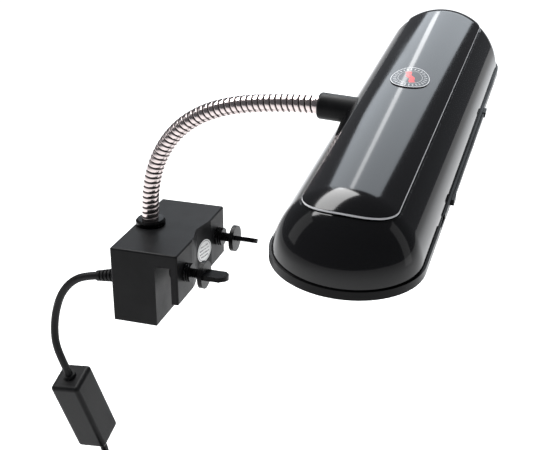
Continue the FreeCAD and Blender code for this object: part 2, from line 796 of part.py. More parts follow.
def make_hood(head):
    low = float(d.bezel_high)
    wall = d.hood_wall
    outside = crown()
    shell = outside.cut(crown(-wall))
    level = float(d.sleeve_level)
    spreader_top = float(d.board_level + d.board_thick + d.spreader_thick)
    sides = float(d.hood_half)
    posts = [upright(x, y, spreader_top, d.hood_high, 3.0) for x, y in HEAD_SCREWS]
    posts += [upright(x, y * bezel_screw_y(), low, d.hood_high, 3.0) for x, y in BEZEL_SCREWS]
    posts.append(Part.makeCylinder(9.5, sides - 26, Vector(-sides, 0, level), Vector(1, 0, 0)))
    shell = shell.fuse([post.common(outside) for post in posts])
    holes = [upright(x, y, spreader_top - 1, spreader_top + 8.5, d.pilot_round) for x, y in HEAD_SCREWS]
    holes += [upright(x, y * bezel_screw_y(), low - 1, low + 9, d.pilot_round) for x, y in BEZEL_SCREWS]
    bore = float(d.sleeve_round) + 0.05
    holes.append(Part.makeCylinder(bore, sides, Vector(-sides - 10, 0, level), Vector(1, 0, 0)))
    below = Part.makeBox(4 * sides, 500, low + 5, Vector(-2 * sides, -250, -5))
    half, straight, bulge = d.panel_half + 0.1, d.panel_straight, d.panel_bulge + 0.1
    ring = capsule_prism(half + d.groove_wide, straight, bulge + d.groove_wide, 10, 60)
    ring = ring.cut(capsule_prism(half, straight, bulge, 9, 61))
    groove = crown(1.0).cut(crown(-d.groove_deep)).common(ring)
    hood = shell.cut(holes + [below, groove])
    node(shaped("hood", hood), "hood", head)


def make_panel_and_badge(head):
    plan = capsule_prism(d.panel_half, d.panel_straight, d.panel_bulge, 10, 60)
    panel = crown(d.panel_rise).common(plan).cut(crown(d.panel_seat))
    node(shaped("top_panel", panel), "top_panel", head)
    disc = scaled(Part.makeCylinder(1.0, 40, Vector(0, 0, 20)), float(d.badge_across), float(d.badge_along), 1)
    disc.translate(Vector(0, float(d.badge_shift), 0))
    top = d.panel_rise + d.panel_seat
    badge = crown(top + d.badge_thick).common(disc).cut(crown(top))
    node(shaped("badge", badge), "badge", head)


def make_bezel(head):
    lip = d.bezel_lip
    ring = capsule_prism(d.hood_half + lip, d.hood_straight, d.hood_bulge + lip, 0, d.bezel_high)
    rim = d.hood_half - d.bezel_wide
    seat = rim + 1.6
    short = d.hood_bulge - d.bezel_wide - 8
    openings = [
        capsule_prism(rim, d.hood_straight, short, -1, d.bezel_high + 1),
        capsule_prism(seat, d.hood_straight, short + 1.6, d.lens_floor, d.bezel_high + 1),
    ]
    for x, y in BEZEL_SCREWS:
        spot = y * bezel_screw_y()
        openings.append(upright(x, spot, -1, 10, d.pilot_round + d.screw_free))
        openings.append(upright(x, spot, -1, d.tapper_head_high + 0.2, d.tapper_head + 0.2))
    side = float(d.hood_half + lip)
    strip = Part.makeBox(2.2, 108, 2.6, Vector(side - 1, -51, 1.0))
    latches = [Part.makeBox(2.8, 7, 3.4, Vector(side - 1, y, 0.6)) for y in (-58, 57)]
    notch = Part.makeBox(3, 12, 2.2, Vector(side - 0.8, -88, 2.5))
    bezel = ring.cut(openings + [notch]).fuse([strip] + latches).removeSplitter()
    node(shaped("bezel", bezel), "bezel", head)
    sill = d.lens_floor + d.lens_thick
    lens = capsule_prism(seat - 0.1, d.hood_straight, short + 1.5, d.lens_floor, sill)
    node(shaped("lens", lens), "lens", head)
    gasket = capsule_prism(seat - 0.1, d.hood_straight, short + 1.5, sill, d.bezel_high)
    thin = d.gasket_wide
    inside = capsule_prism(seat - thin, d.hood_straight, short + 1.6 - thin, 0, 10)
    node(shaped("lens_gasket", gasket.cut(inside)), "lens_gasket", head)
    frame = capsule_prism(seat - 0.1, d.hood_straight, short + 1.5, d.bezel_high, d.board_level)
    window = capsule_prism(seat - 4.0, d.hood_straight, short - 2.4, 0, 10)
    node(shaped("reflector", frame.cut(window)), "reflector", head)
    screws = []
    for number, (x, y) in enumerate(BEZEL_SCREWS, start=1):
        spot = y * bezel_screw_y()
        seat_at = 0.2 + d.tapper_head_high
        screws.append(upright_screw(f"bezel_screw_{number}", x, spot, seat_at, 10))
    node(fused("bezel_screws", screws), "bezel_screws", head)


def upright_screw(name, x, y, head_at, long):
    """A self-tapping screw that points up, its head's upper face at head_at."""
    foot = head_at - d.tapper_head_high
    head = rod(name + "_head", d.tapper_head, d.tapper_head_high, (x, y, foot))
    slot = block(name + "_slot", (x - 2.0, y - 0.35, foot - 0.1), (4.0, 0.7, 0.8))
    shank = rod(name + "_shank", d.tapper_round, long, (x, y, head_at))
    return cut(name, fused(name + "_solid", [head, shank]), [slot])


LED_ROWS = (-16, 0, 16)
LED_COLUMNS = [20 * step - 110 for step in range(12)]


def make_light_engine(head):
    """Board with its diodes, under a finned heat spreader that hangs from the hood's posts."""
    under = d.board_level
    top = under + d.board_thick
    plate = capsule_prism(d.board_half, d.hood_straight, d.board_half - 11, under, top)
    holes = [upright(x, y, 0, 30, d.pilot_round + d.screw_free) for x, y in HEAD_SCREWS]
    node(shaped("led_board", plate.cut(holes)), "led_board", head)
    size = d.led_size
    diodes = [
        block(f"led_{x + 20}_{y + 120}", (x - size / 2, y - size / 2, under - d.led_thick),
              (size, size, d.led_thick))
        for x in LED_ROWS
        for y in LED_COLUMNS
    ]
    node(fused("led_set", diodes), "leds", head)
    base = block("spreader_base", (-20, -118, top), (40, 236, d.spreader_thick))
    fin_foot = top + d.spreader_thick - 0.5
    fins = [
        block(f"fin_{number}_{side}", (5 * number - 15 - d.fin_thick / 2, start, fin_foot),
              (d.fin_thick, 103, d.fin_high + 0.5))
        for number in range(7)
        for side, start in enumerate((-115, 12))
    ]
    clear = [
        rod(f"post_gap_{number}", 4.5, 20, (x, y, top + d.spreader_thick))
        for number, (x, y) in enumerate(HEAD_SCREWS, start=1)
    ]
    through = [
        rod(f"post_hole_{number}", d.pilot_round + d.screw_free, 30, (x, y, 0))
        for number, (x, y) in enumerate(HEAD_SCREWS, start=1)
    ]
    window = block("lead_window", (-6, -6, top - 1), (12, 12, 10))
    spreader = cut("spreader", fused("spreader_solid", [base] + fins), clear + through + [window])
    node(spreader, "heat_spreader", head)
    screws = [
        upright_screw(f"spreader_screw_{number}", x, y, under, 11.5)
        for number, (x, y) in enumerate(HEAD_SCREWS, start=1)
    ]
    node(fused("spreader_screws", screws), "spreader_screws", head)
    level = float(d.sleeve_level)
    start = float(d.sleeve_end + d.end_nut_high + 1.5 - d.sleeve_reach)
    leads = [
        lead(f"head_lead_{number}", 0.5, [(start, shift, level), (start + 12, shift, level),
             (start + 18, shift + step, level - 3), (start + 18, shift + step, float(top))])
        for number, (shift, step) in enumerate(((-0.8, -1.5), (0.8, 1.5)), start=1)
    ]
    node(joined_wires("head_wires", leads), "head_leads", head)


def make_socket(head):
    """Sleeve in the hood's flank, in which the neck's end ferrule turns."""
    bore = d.neck_round + d.sleeve_play
    long = d.sleeve_end - d.sleeve_start
    around = d.sleeve_round
    socket = turned("head_socket", [
        (bore, 0), (around - 1.6, 0), (around - 0.8, 0.25), (around - 0.25, 0.8), (around, 1.6),
        (around, long), (bore, long),
    ])
    start = Vector(float(d.sleeve_start - d.sleeve_reach), 0, float(d.sleeve_level))
    node(socket, "head_socket", head.multiply(Placement(start, TURNS["x"])))


# ------------------------------------------------------- strain relief, cord, switch and plug

CORD_RADIUS = d.cord_thick / 2


def make_relief():
    """Ribbed relief that droops from the back cover.  Gives its tip and its direction."""
    root = Vector(float(back), float(d.relief_y), float(d.relief_z))
    droop = math.radians(float(d.relief_droop))
    away = Vector(-math.cos(droop), 0, -math.sin(droop))
    long = float(d.relief_long)
    wide = float(d.relief_round)
    tip_round = float(CORD_RADIUS) + 0.8
    solid = Part.makeCone(wide, tip_round, long + 2, root - away * 2, away)
    rings = 6
    step = (long - 4) / rings
    for number in range(rings):
        at = root + away * (3 + step * number)
        inner = (wide + tip_round) / 2 - 1.4 - 0.13 * number
        ring = Part.makeCylinder(wide + 1, 1.1, at, away).cut(Part.makeCylinder(inner, 1.1, at, away))
        solid = solid.cut(ring)
    solid = solid.cut(Part.makeBox(20, 30, 30, root + Vector(0, -15, -15)))
    neck = Part.makeCylinder(float(d.relief_neck), float(d.cover_thick), root, Vector(1, 0, 0))
    flange = Part.makeCylinder(6.6, 2.0, root + Vector(float(d.cover_thick), 0, 0), Vector(1, 0, 0))
    stub = Part.makeCylinder(3.2, 4.2, root + Vector(float(d.cover_thick), 0, 0), Vector(1, 0, 0))
    node(shaped("strain_relief", solid.fuse([neck, flange, stub]).removeSplitter()), "strain_relief")
    return root + away * long, away


SWITCH_TOP = Vector(-77.5, -21.0, -98.0)
SWITCH_DOWN = Vector(0.141, 0.291, -0.947).normalize()
GROMMET = 2.5                    # a grommet's length outside the case
SWITCH_SCREWS = (-20.0, 20.0)    # along the case
CASE_SCREW_DEEP = 6.0            # screw's reach past the parting plane
SINK = 2.0                       # depth of the screw heads' sinks
ROCKER_X = 4.0 - d.switch_deep / 2
ROCKER_TILT = 8.0
EAR = 8.0 - d.rocker_wide / 2 - d.screw_free


def switch_placement():
    """The switch's own frame: +Z up its length, origin in its middle, rocker on -X."""
    middle = SWITCH_TOP + SWITCH_DOWN * (float(d.switch_long) / 2)
    return Placement(middle, Rotation(Vector(1, 0, 0), Vector(), -SWITCH_DOWN, "ZXY"))


def make_switch_shell(name, side, stand):
    """One half of the moulded case, on the given side of the parting plane."""
    body = doc.addObject("PartDesign::Body", name)
    wide, tall, wall = d.switch_wide / 2, d.switch_long / 2, d.switch_wall
    plan = sketch_on(body, "YZ_Plane", name + "_outline")
    outline(plan, rectangle(-wide, -tall, wide, tall))
    pad(body, plan, d.switch_deep / 2, name + "_block", back=side < 0)
    rounded(body, d.switch_edge, lambda edge, middle: not near(middle.x, 0), name + "_edges")
    hollow = sketch_on(body, "YZ_Plane", name + "_hollow_outline")
    outline(hollow, rectangle(wall - wide, wall - tall, wide - wall, tall - wall))
    pocket(body, hollow, d.switch_deep / 2 - wall, name + "_hollow", back=side > 0)
    posts = sketch_on(body, "YZ_Plane", name + "_post_outline")
    for z in SWITCH_SCREWS:
        circle(posts, 0, z, d.pillar_round)
    pad(body, posts, d.switch_deep / 2 - wall / 2, name + "_posts", back=side < 0)
    holes = sketch_on(body, "YZ_Plane", name + "_hole_outline")
    for z in SWITCH_SCREWS:
        circle(holes, 0, z, d.pilot_round if side > 0 else d.pilot_round + d.screw_free)
    depth = CASE_SCREW_DEEP + 1.0 if side > 0 else d.switch_deep
    pocket(body, holes, depth, name + "_holes", back=side > 0)
    if side < 0:
        sinks = sketch_on(body, "YZ_Plane", name + "_sink_outline", -d.switch_deep / 2)
        for z in SWITCH_SCREWS:
            circle(sinks, 0, z, d.tapper_head + 0.2)
        pocket(body, sinks, SINK, name + "_sinks", back=True)
    ends = sketch_on(body, "XY_Plane", name + "_end_outline", tall + 1)
    circle(ends, 0, 0, 3.4)
    pocket(body, ends, d.switch_long + 2, name + "_ends")
    if side < 0:
        window = sketch_on(body, "YZ_Plane", name + "_window_outline", -d.switch_deep / 2 - 1)
        aside = d.rocker_wide / 2 + d.screw_free
        outline(window, rectangle(-aside, -d.rocker_long / 2, aside, d.rocker_long / 2))
        pocket(body, window, wall + 2, name + "_window", back=True)
        for word, y in (("left", -8.0), ("right", aside)):
            ear = sketch_on(body, "XZ_Plane", f"{name}_{word}_ear_outline", -as_size(y) - EAR)
            outline(ear, rectangle(0.5 - d.switch_deep / 2, -4, ROCKER_X + 3, 4))
            pad(body, ear, EAR, f"{name}_{word}_ear")
        pivot = sketch_on(body, "XZ_Plane", name + "_pivot_outline", -9)
        circle(pivot, ROCKER_X, 0, 1.25)
        pocket(body, pivot, 18, name + "_pivot", back=True)
    node(body, name, stand)


def make_switch(stand):
    make_switch_shell("switch_shell_front", -1, stand)
    make_switch_shell("switch_shell_back", 1, stand)
    head_at = SINK - d.switch_deep / 2
    screws = []
    for number, z in enumerate(SWITCH_SCREWS, start=1):
        head = rod(f"case_screw_head_{number}", d.tapper_head, d.tapper_head_high,
                   (head_at - d.tapper_head_high, 0, z), "x")
        shank = rod(f"case_screw_shank_{number}", d.tapper_round, CASE_SCREW_DEEP - head_at,
                    (head_at, 0, z), "x")
        screws.append(fused(f"case_screw_{number}", [head, shank]))
    node(fused("switch_screws", screws), "switch_screws", stand)
    tall = d.switch_long / 2
    grommets = []
    inside = tall - d.switch_wall
    lock_long = 1.2
    for end, outer_z, inner_z, lock_z in (
        ("top", tall, inside - 0.2, inside - lock_long), ("bottom", -tall - GROMMET, -tall, -inside)
    ):
        outer = rod(f"grommet_outer_{end}", 4.4, GROMMET, (0, 0, outer_z))
        inner = rod(f"grommet_inner_{end}", 3.3, d.switch_wall + 0.2, (0, 0, inner_z))
        lock = rod(f"grommet_lock_{end}", 4.2, lock_long, (0, 0, lock_z))
        grommets.append(fused(f"grommet_{end}", [outer, inner, lock]))
    node(joined_features("switch_grommets", grommets), "switch_grommets", stand)
    arms = []
    for number, (y, low) in enumerate(((-3.0, -14.0), (3.0, 2.0)), start=1):
        strip = block(f"contact_strip_{number}", (0.5, y - 1.5, low), (0.8, 3.0, 12.0))
        foot = block(f"contact_foot_{number}", (0.5, y - 1.5, low),
                     (d.switch_deep / 2 - d.switch_wall - 0.5, 3.0, 0.8))
        button = rod(f"contact_button_{number}", 1.2, 1.5, (-1.0, y, low + 10.0), "x")
        arms.append(fused(f"contact_{number}", [strip, foot, button]))
    node(joined_features("switch_contacts", arms), "switch_contacts", stand)
    across = d.rocker_wide / 2
    reach = d.rocker_long / 2 - 1.0
    outside = -d.switch_deep / 2 - ROCKER_X
    hollow_round = 40.0
    face = block("rocker_face", (outside - 1.2, -across, -reach), (5.0, d.rocker_wide, reach * 2))
    dish = rod("rocker_dish", hollow_round, d.rocker_wide + 2,
               (outside - hollow_round - 0.6, -across - 1, 0), "y")
    pin = rod("rocker_pin", 1.2, 15.6, (0, -7.8, 0), "y")
    tongue = rod("rocker_tongue", 2.4, d.rocker_wide - 4, (0.4, 2 - across, 0), "y")
    tilt = Placement(Vector(float(ROCKER_X), 0, 0), Rotation(Vector(0, 1, 0), ROCKER_TILT))
    rocker = fused("rocker", [cut("rocker_cap", face, [dish]), pin, tongue])
    node(rocker, "switch_rocker", stand.multiply(tilt))


def joined_features(name, pieces):
    doc.recompute()
    compound = doc.addObject("Part::Compound", name)
    compound.Links = pieces
    return compound


COIL_CENTRE = Vector(-60.5, -32.0, -206.0)
COIL_ENTRY = Vector(-66.0, 2.2, -206.0)
COIL_EXIT = Vector(-71.6, 2.2, -206.0)


def make_cords(tip, away):
    """The lead from the clamp to the switch, from there to the coil, and the tail to the plug."""
    down = SWITCH_DOWN
    top = SWITCH_TOP - down * GROMMET
    upper = [
        tip, tip + away * 11.0, Vector(-70.8, -22.0, -23.8), Vector(-78.6, -22.0, -34.0),
        Vector(-83.2, -22.4, -47.3), Vector(-84.8, -23.8, -60.5), Vector(-83.6, -25.3, -72.5),
        top - down * 10.0, top,
    ]
    foot = SWITCH_TOP + down * (float(d.switch_long) + GROMMET)
    lower = [
        foot, foot + down * 10.0, Vector(-66.2, 2.1, -179.5), COIL_ENTRY + Vector(0, 0, 14), COIL_ENTRY,
    ]
    tail = [COIL_EXIT, COIL_EXIT + Vector(0, 0, -15), Vector(-71.0, 2.6, -236.0)]
    total = 0.0
    for name, points in (("cord_upper", upper), ("cord_lead", lower), ("cord_tail", tail)):
        wire, radii = route(points)
        total += wire.Length
        print(name, "length", round(wire.Length, 1), "radii", [round(radius, 1) for radius in radii])
        node(shaped(name, pipe(wire, float(CORD_RADIUS), name)), name)
    print("cord in tubes", round(total, 1))
    return tail[2], (tail[2] - tail[1]).normalize()


def make_coil():
    """The coiled length as one closed ring of its outer shape, with a tie round it."""
    inner = d.coil_round - CORD_RADIUS * 2 - 0.3
    outer = d.coil_round + CORD_RADIUS * 2 + 0.3
    wide, soft = d.coil_wide, d.coil_soft
    ring = turned("coil_ring", [
        (inner + soft, 0), (outer - soft, 0), (outer - 0.7, 0.7), (outer, soft), (outer, wide - soft),
        (outer - 0.7, wide - 0.7), (outer - soft, wide), (inner + soft, wide), (inner + 0.7, wide - 0.7),
        (inner, wide - soft), (inner, soft), (inner + 0.7, 0.7),
    ])
    wide = float(wide)
    ring.Placement = Placement(COIL_CENTRE + Vector(-wide / 2, 0, 0), TURNS["x"])
    ways = [
        rod("coil_entry", CORD_RADIUS + 0.25, 40, COIL_ENTRY),
        rod("coil_exit", CORD_RADIUS + 0.25, 40, COIL_EXIT - Vector(0, 0, 40)),
    ]
    node(cut("coil", ring, ways), "cord_coil")
    low = COIL_CENTRE.z - float(outer) - 1.2
    high = COIL_CENTRE.z - float(inner) + 1.4
    left = COIL_CENTRE.x - wide / 2
    band = block("tie_band", (left - 1.2, COIL_CENTRE.y - 3, low), (wide + 2.4, 6, high - low))
    room = block("tie_room", (left - 0.2, COIL_CENTRE.y - 4, low + 1), (wide + 0.4, 8, high - low - 2))
    node(cut("tie", band, [room]), "coil_tie")


PIN_ROOT = 6.0                   # pins inside the plug


def make_plug(start, down):
    """Flat two-pin plug.  Its own frame: -Z out of the pins, origin on the pin face."""
    long = d.plug_long
    reach = float(long + d.plug_relief)
    stand = Placement(start + down * reach, Rotation(Vector(1, 0, 0), Vector(), -down, "ZXY"))
    body = doc.addObject("PartDesign::Body", "plug_body")
    face = d.plug_wide / 2
    plan = sketch_on(body, "YZ_Plane", "plug_outline")
    outline(plan, [
        (-face + 1.5, 0), (face - 1.5, 0), (face, 1.5), (face, 11), (face - 6, 21), (7.5, long),
        (-7.5, long), (6 - face, 21), (-face, 11), (-face, 1.5),
    ])
    pad(body, plan, d.plug_thick, "plug_block", both=True)
    rounded(body, 2.4, lambda edge, middle: near(abs(middle.x), d.plug_thick / 2), "plug_edges")
    relief = sketch_on(body, "XZ_Plane", "relief_profile")
    tip_round = CORD_RADIUS + 0.9
    profile = [(0, long - 2), (5.2, long - 2)]
    ribs = 5
    for number in range(ribs):
        at = long + 1.5 + number * (d.plug_relief - 3) / ribs
        fat = 5.2 - 0.3 * number
        profile += [(fat, at), (fat - 1.1, at), (fat - 1.1, at + 1.2), (fat, at + 1.2)]
    profile += [(tip_round, long + d.plug_relief), (0, long + d.plug_relief)]
    outline(relief, profile)
    turn = body.newObject("PartDesign::Revolution", "plug_relief")
    turn.Profile = relief
    turn.ReferenceAxis = (relief, ["V_Axis"])
    turn.Angle = 360.0
    doc.recompute()
    holes = sketch_on(body, "XY_Plane", "pin_hole_outline")
    for sign in (-1, 1):
        circle(holes, 0, sign * d.pin_spacing / 2, d.pin_round)
    pocket(body, holes, PIN_ROOT, "pin_holes", back=True)
    node(body, "plug_body", stand)
    pins = []
    for word, sign in (("left", -1), ("right", 1)):
        y = sign * d.pin_spacing / 2
        tip = d.pin_round - d.pin_long
        shank = rod(f"pin_{word}", d.pin_round, PIN_ROOT - tip, (0, y, tip))
        nose = ball(f"pin_nose_{word}", d.pin_round, (0, y, tip))
        pins.append(fused(f"plug_pin_{word}", [shank, nose]))
    node(joined_features("plug_pins", pins), "plug_pins", stand)


# ------------------------------------------------------------------------- build, check, write

make_clamp_body()
make_back_cover()
make_label()
make_bushes()
make_thumb_screws()
make_neck_mounting()
make_driver()
make_leads()
last_joint = make_neck()
make_neck_end(last_joint)
fall = Rotation(Vector(0, 1, 0), float(d.sleeve_slope))
tilt = fall * Rotation(Vector(1, 0, 0), float(d.head_turn))
shift = tilt.multVec(Vector(float(d.sleeve_reach), 0, -float(d.sleeve_level)))
head_stand = Placement(last_joint + shift, tilt)
print("head", head_stand)
make_hood(head_stand)
make_panel_and_badge(head_stand)
make_bezel(head_stand)
make_light_engine(head_stand)
make_socket(head_stand)
relief_tip, relief_away = make_relief()
switch_stand = switch_placement()
print("switch", switch_stand)
make_switch(switch_stand)
plug_start, plug_down = make_cords(relief_tip, relief_away)
make_coil()
make_plug(plug_start, plug_down)
doc.recompute()

for item in doc.Objects:
    if "Invalid" in item.State or "Error" in item.State:
        raise ValueError(f"{item.Label} is {item.State}")
for item in NODES:
    if item.Shape.isNull() or not item.Shape.isValid() or item.Shape.Volume <= 0:
        raise ValueError(f"{item.Label} has no valid shape")

os.makedirs("parts", exist_ok=True)
for item in NODES:
    item.Shape.exportStep(f"parts/{item.Label}.step")
print("parts written:", len(NODES))
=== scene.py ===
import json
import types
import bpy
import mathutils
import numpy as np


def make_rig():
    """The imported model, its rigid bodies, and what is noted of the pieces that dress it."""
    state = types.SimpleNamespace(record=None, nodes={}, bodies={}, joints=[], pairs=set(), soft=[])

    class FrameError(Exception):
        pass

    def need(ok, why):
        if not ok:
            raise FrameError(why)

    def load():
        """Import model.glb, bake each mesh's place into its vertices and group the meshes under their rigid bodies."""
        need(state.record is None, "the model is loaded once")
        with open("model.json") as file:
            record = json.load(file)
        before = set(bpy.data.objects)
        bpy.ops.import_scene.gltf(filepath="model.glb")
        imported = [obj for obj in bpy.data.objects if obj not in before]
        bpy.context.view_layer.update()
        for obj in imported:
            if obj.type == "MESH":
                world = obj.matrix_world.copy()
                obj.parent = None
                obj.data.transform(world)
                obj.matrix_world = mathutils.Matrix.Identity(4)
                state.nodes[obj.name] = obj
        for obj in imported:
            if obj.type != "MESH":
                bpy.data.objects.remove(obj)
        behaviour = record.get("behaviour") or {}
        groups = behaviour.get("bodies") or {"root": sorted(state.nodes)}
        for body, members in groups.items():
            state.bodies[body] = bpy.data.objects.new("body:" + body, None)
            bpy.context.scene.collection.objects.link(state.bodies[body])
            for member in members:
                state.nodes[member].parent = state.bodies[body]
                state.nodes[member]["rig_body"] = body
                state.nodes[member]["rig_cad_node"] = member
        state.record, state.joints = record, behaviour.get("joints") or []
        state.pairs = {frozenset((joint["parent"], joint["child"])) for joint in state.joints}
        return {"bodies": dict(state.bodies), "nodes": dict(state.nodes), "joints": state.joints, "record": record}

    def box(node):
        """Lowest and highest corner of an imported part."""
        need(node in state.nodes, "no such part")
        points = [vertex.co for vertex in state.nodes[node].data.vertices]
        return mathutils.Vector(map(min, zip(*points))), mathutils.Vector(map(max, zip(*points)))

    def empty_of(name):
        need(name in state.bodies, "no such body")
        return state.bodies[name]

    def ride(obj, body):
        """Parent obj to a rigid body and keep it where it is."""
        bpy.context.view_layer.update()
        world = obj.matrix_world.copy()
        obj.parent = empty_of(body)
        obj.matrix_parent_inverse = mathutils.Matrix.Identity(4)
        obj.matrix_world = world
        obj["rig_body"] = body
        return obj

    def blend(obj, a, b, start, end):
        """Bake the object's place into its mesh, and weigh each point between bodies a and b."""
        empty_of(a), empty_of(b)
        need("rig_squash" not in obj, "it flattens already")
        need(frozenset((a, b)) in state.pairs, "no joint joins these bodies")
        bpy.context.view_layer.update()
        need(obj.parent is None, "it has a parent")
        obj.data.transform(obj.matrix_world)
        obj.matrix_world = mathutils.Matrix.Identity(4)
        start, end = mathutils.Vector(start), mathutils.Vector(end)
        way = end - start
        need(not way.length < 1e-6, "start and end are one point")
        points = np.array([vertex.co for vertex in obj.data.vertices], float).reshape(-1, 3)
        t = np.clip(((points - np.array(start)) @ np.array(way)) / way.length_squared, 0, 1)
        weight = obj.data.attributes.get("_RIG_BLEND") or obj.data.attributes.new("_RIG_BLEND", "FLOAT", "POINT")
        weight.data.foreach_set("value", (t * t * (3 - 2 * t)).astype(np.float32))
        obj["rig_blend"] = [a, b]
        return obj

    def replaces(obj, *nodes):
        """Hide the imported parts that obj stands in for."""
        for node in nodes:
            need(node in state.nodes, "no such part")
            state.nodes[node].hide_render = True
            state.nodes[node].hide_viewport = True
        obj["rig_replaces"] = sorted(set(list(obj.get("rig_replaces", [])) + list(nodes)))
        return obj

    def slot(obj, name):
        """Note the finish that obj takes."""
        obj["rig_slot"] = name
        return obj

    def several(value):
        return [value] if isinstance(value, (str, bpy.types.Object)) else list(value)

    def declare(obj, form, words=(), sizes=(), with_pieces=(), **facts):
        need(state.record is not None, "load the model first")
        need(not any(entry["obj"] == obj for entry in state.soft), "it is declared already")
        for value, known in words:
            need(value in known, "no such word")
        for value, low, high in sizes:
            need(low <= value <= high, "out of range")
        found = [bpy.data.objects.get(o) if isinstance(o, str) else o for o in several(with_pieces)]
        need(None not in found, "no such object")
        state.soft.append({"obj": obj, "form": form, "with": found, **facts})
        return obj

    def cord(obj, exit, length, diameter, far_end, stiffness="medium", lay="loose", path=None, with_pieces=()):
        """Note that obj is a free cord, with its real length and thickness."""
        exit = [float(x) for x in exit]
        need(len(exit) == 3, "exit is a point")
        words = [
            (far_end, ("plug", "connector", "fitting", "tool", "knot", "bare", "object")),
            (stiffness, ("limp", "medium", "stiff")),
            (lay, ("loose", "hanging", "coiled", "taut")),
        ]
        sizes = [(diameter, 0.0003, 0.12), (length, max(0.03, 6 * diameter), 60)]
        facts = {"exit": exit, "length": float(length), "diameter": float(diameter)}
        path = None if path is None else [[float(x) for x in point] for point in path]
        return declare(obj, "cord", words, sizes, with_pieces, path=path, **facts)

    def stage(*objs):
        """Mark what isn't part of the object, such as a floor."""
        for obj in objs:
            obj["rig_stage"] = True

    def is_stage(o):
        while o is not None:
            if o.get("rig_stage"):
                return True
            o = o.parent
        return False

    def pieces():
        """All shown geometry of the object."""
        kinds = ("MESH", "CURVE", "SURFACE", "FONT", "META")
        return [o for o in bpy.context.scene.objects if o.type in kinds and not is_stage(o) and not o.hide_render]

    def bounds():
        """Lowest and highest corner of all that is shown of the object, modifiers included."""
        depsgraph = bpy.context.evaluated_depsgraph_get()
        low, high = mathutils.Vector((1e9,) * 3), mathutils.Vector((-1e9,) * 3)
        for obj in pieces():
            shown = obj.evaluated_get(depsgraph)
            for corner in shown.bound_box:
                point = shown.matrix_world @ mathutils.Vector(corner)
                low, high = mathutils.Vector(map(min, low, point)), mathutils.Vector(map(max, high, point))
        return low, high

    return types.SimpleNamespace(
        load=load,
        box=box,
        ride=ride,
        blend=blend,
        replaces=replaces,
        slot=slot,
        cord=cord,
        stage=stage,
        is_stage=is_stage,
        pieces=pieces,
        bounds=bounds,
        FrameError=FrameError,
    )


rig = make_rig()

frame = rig.load()
CAD_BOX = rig.bounds()

import json
import math

import bmesh
import bpy
from bpy.props import FloatProperty, FloatVectorProperty, IntProperty, PointerProperty
from mathutils import Euler, Matrix, Vector

bl_info = {
    "name": "Clip-on Aquarium Light",
    "version": (1, 0, 0),
    "blender": (4, 5, 0),
    "location": "3D View > Sidebar > Aquarium",
    "description": "Builds the looks of an LED aquarium light round its CAD frame",
    "category": "Add Mesh",
}

MM = 0.001
JOINTS = {joint["name"]: joint for joint in frame["joints"]}
SLOTS = {entry["node"]: entry["material_slot"] for entry in frame["record"]["subparts"]}

SHARP_ANGLE = math.radians(38)
WELD = 1e-6
NECK_JOINTS = 10
END_STEPS = 40

# The part of a noise's range that nearly all of its values lie in
NOISE_LOW, NOISE_HIGH = 0.3, 0.7
NOISE_ROUGHNESS = 0.55

# Painted highlight: the pale colour on the top panel's rounded edge, standing in for the light along it
PAINTED_EDGE_HIGHLIGHT = (0.62, 0.62, 0.64)
# Painted shade in the gaps between the hose's bands
GAP_PAINTED_SHADE = (0.02, 0.015, 0.015)
INK = (0.05, 0.05, 0.06)
PALE_PRINT = (0.7, 0.7, 0.71)

# Repeats to the metre, and where the thumb screws' threads start and end across the clamp
THREADS, LENS_RIBS, LABEL_LINES, TRACKS = 620.0, 260.0, 420.0, 300.0
THREAD_FROM, THREAD_TO = 0.0152, 0.0259
# Where the painted shade in the gap between two bands of the hose starts and is full, from 0 at a band's middle
GAP_FROM, GAP_FULL = 0.58, 0.9
BADGE_TICKS = 26
BADGE_BAR_LEAN = 0.5

SENSOR = 36.0
CAMERA_SHIFT = (0.0013, -0.0166)
FLOOR_HALF, FLOOR_BEHIND = 9.0, 3.0
WHITE = (1.0, 1.0, 1.0)
DAYLIGHT = (0.86, 0.93, 1.0)
SKY = (0.9, 0.93, 1.0, 1.0)
# The softboxes' aim: the hood's middle, and the clamp's
HOOD_AIM, CLAMP_AIM = (0.14, 0.0, 0.11), (0.0, 0.0, 0.0)


# ------------------------------------------------------------------------------------ settings


def length(name, default, description):
    return FloatProperty(
        name=name, default=default, unit="LENGTH", precision=5, description=description
    )


def slant(name, degrees, description):
    return FloatProperty(
        name=name, default=math.radians(degrees), subtype="ANGLE", description=description
    )


def strength(name, default, description):
    return FloatProperty(name=name, default=default, min=0.0, description=description)


def paint(name, default, description):
    return FloatVectorProperty(
        name=name, default=default, size=3, subtype="COLOR", min=0.0, max=1.0,
        description=description,
    )


class NeckSizes(bpy.types.PropertyGroup):
    radius: length("Radius", 0.0055, "Outer radius of the spiral tube")
    pitch: length("Pitch", 0.0036, "One turn of the spiral")
    groove: length("Groove", 0.00062, "Depth of the gap between two bands")
    around: IntProperty(name="Around", default=48, min=12, description="Points round the tube")
    per_pitch: IntProperty(
        name="Per turn", default=10, min=4, description="Rings along one turn of the spiral"
    )


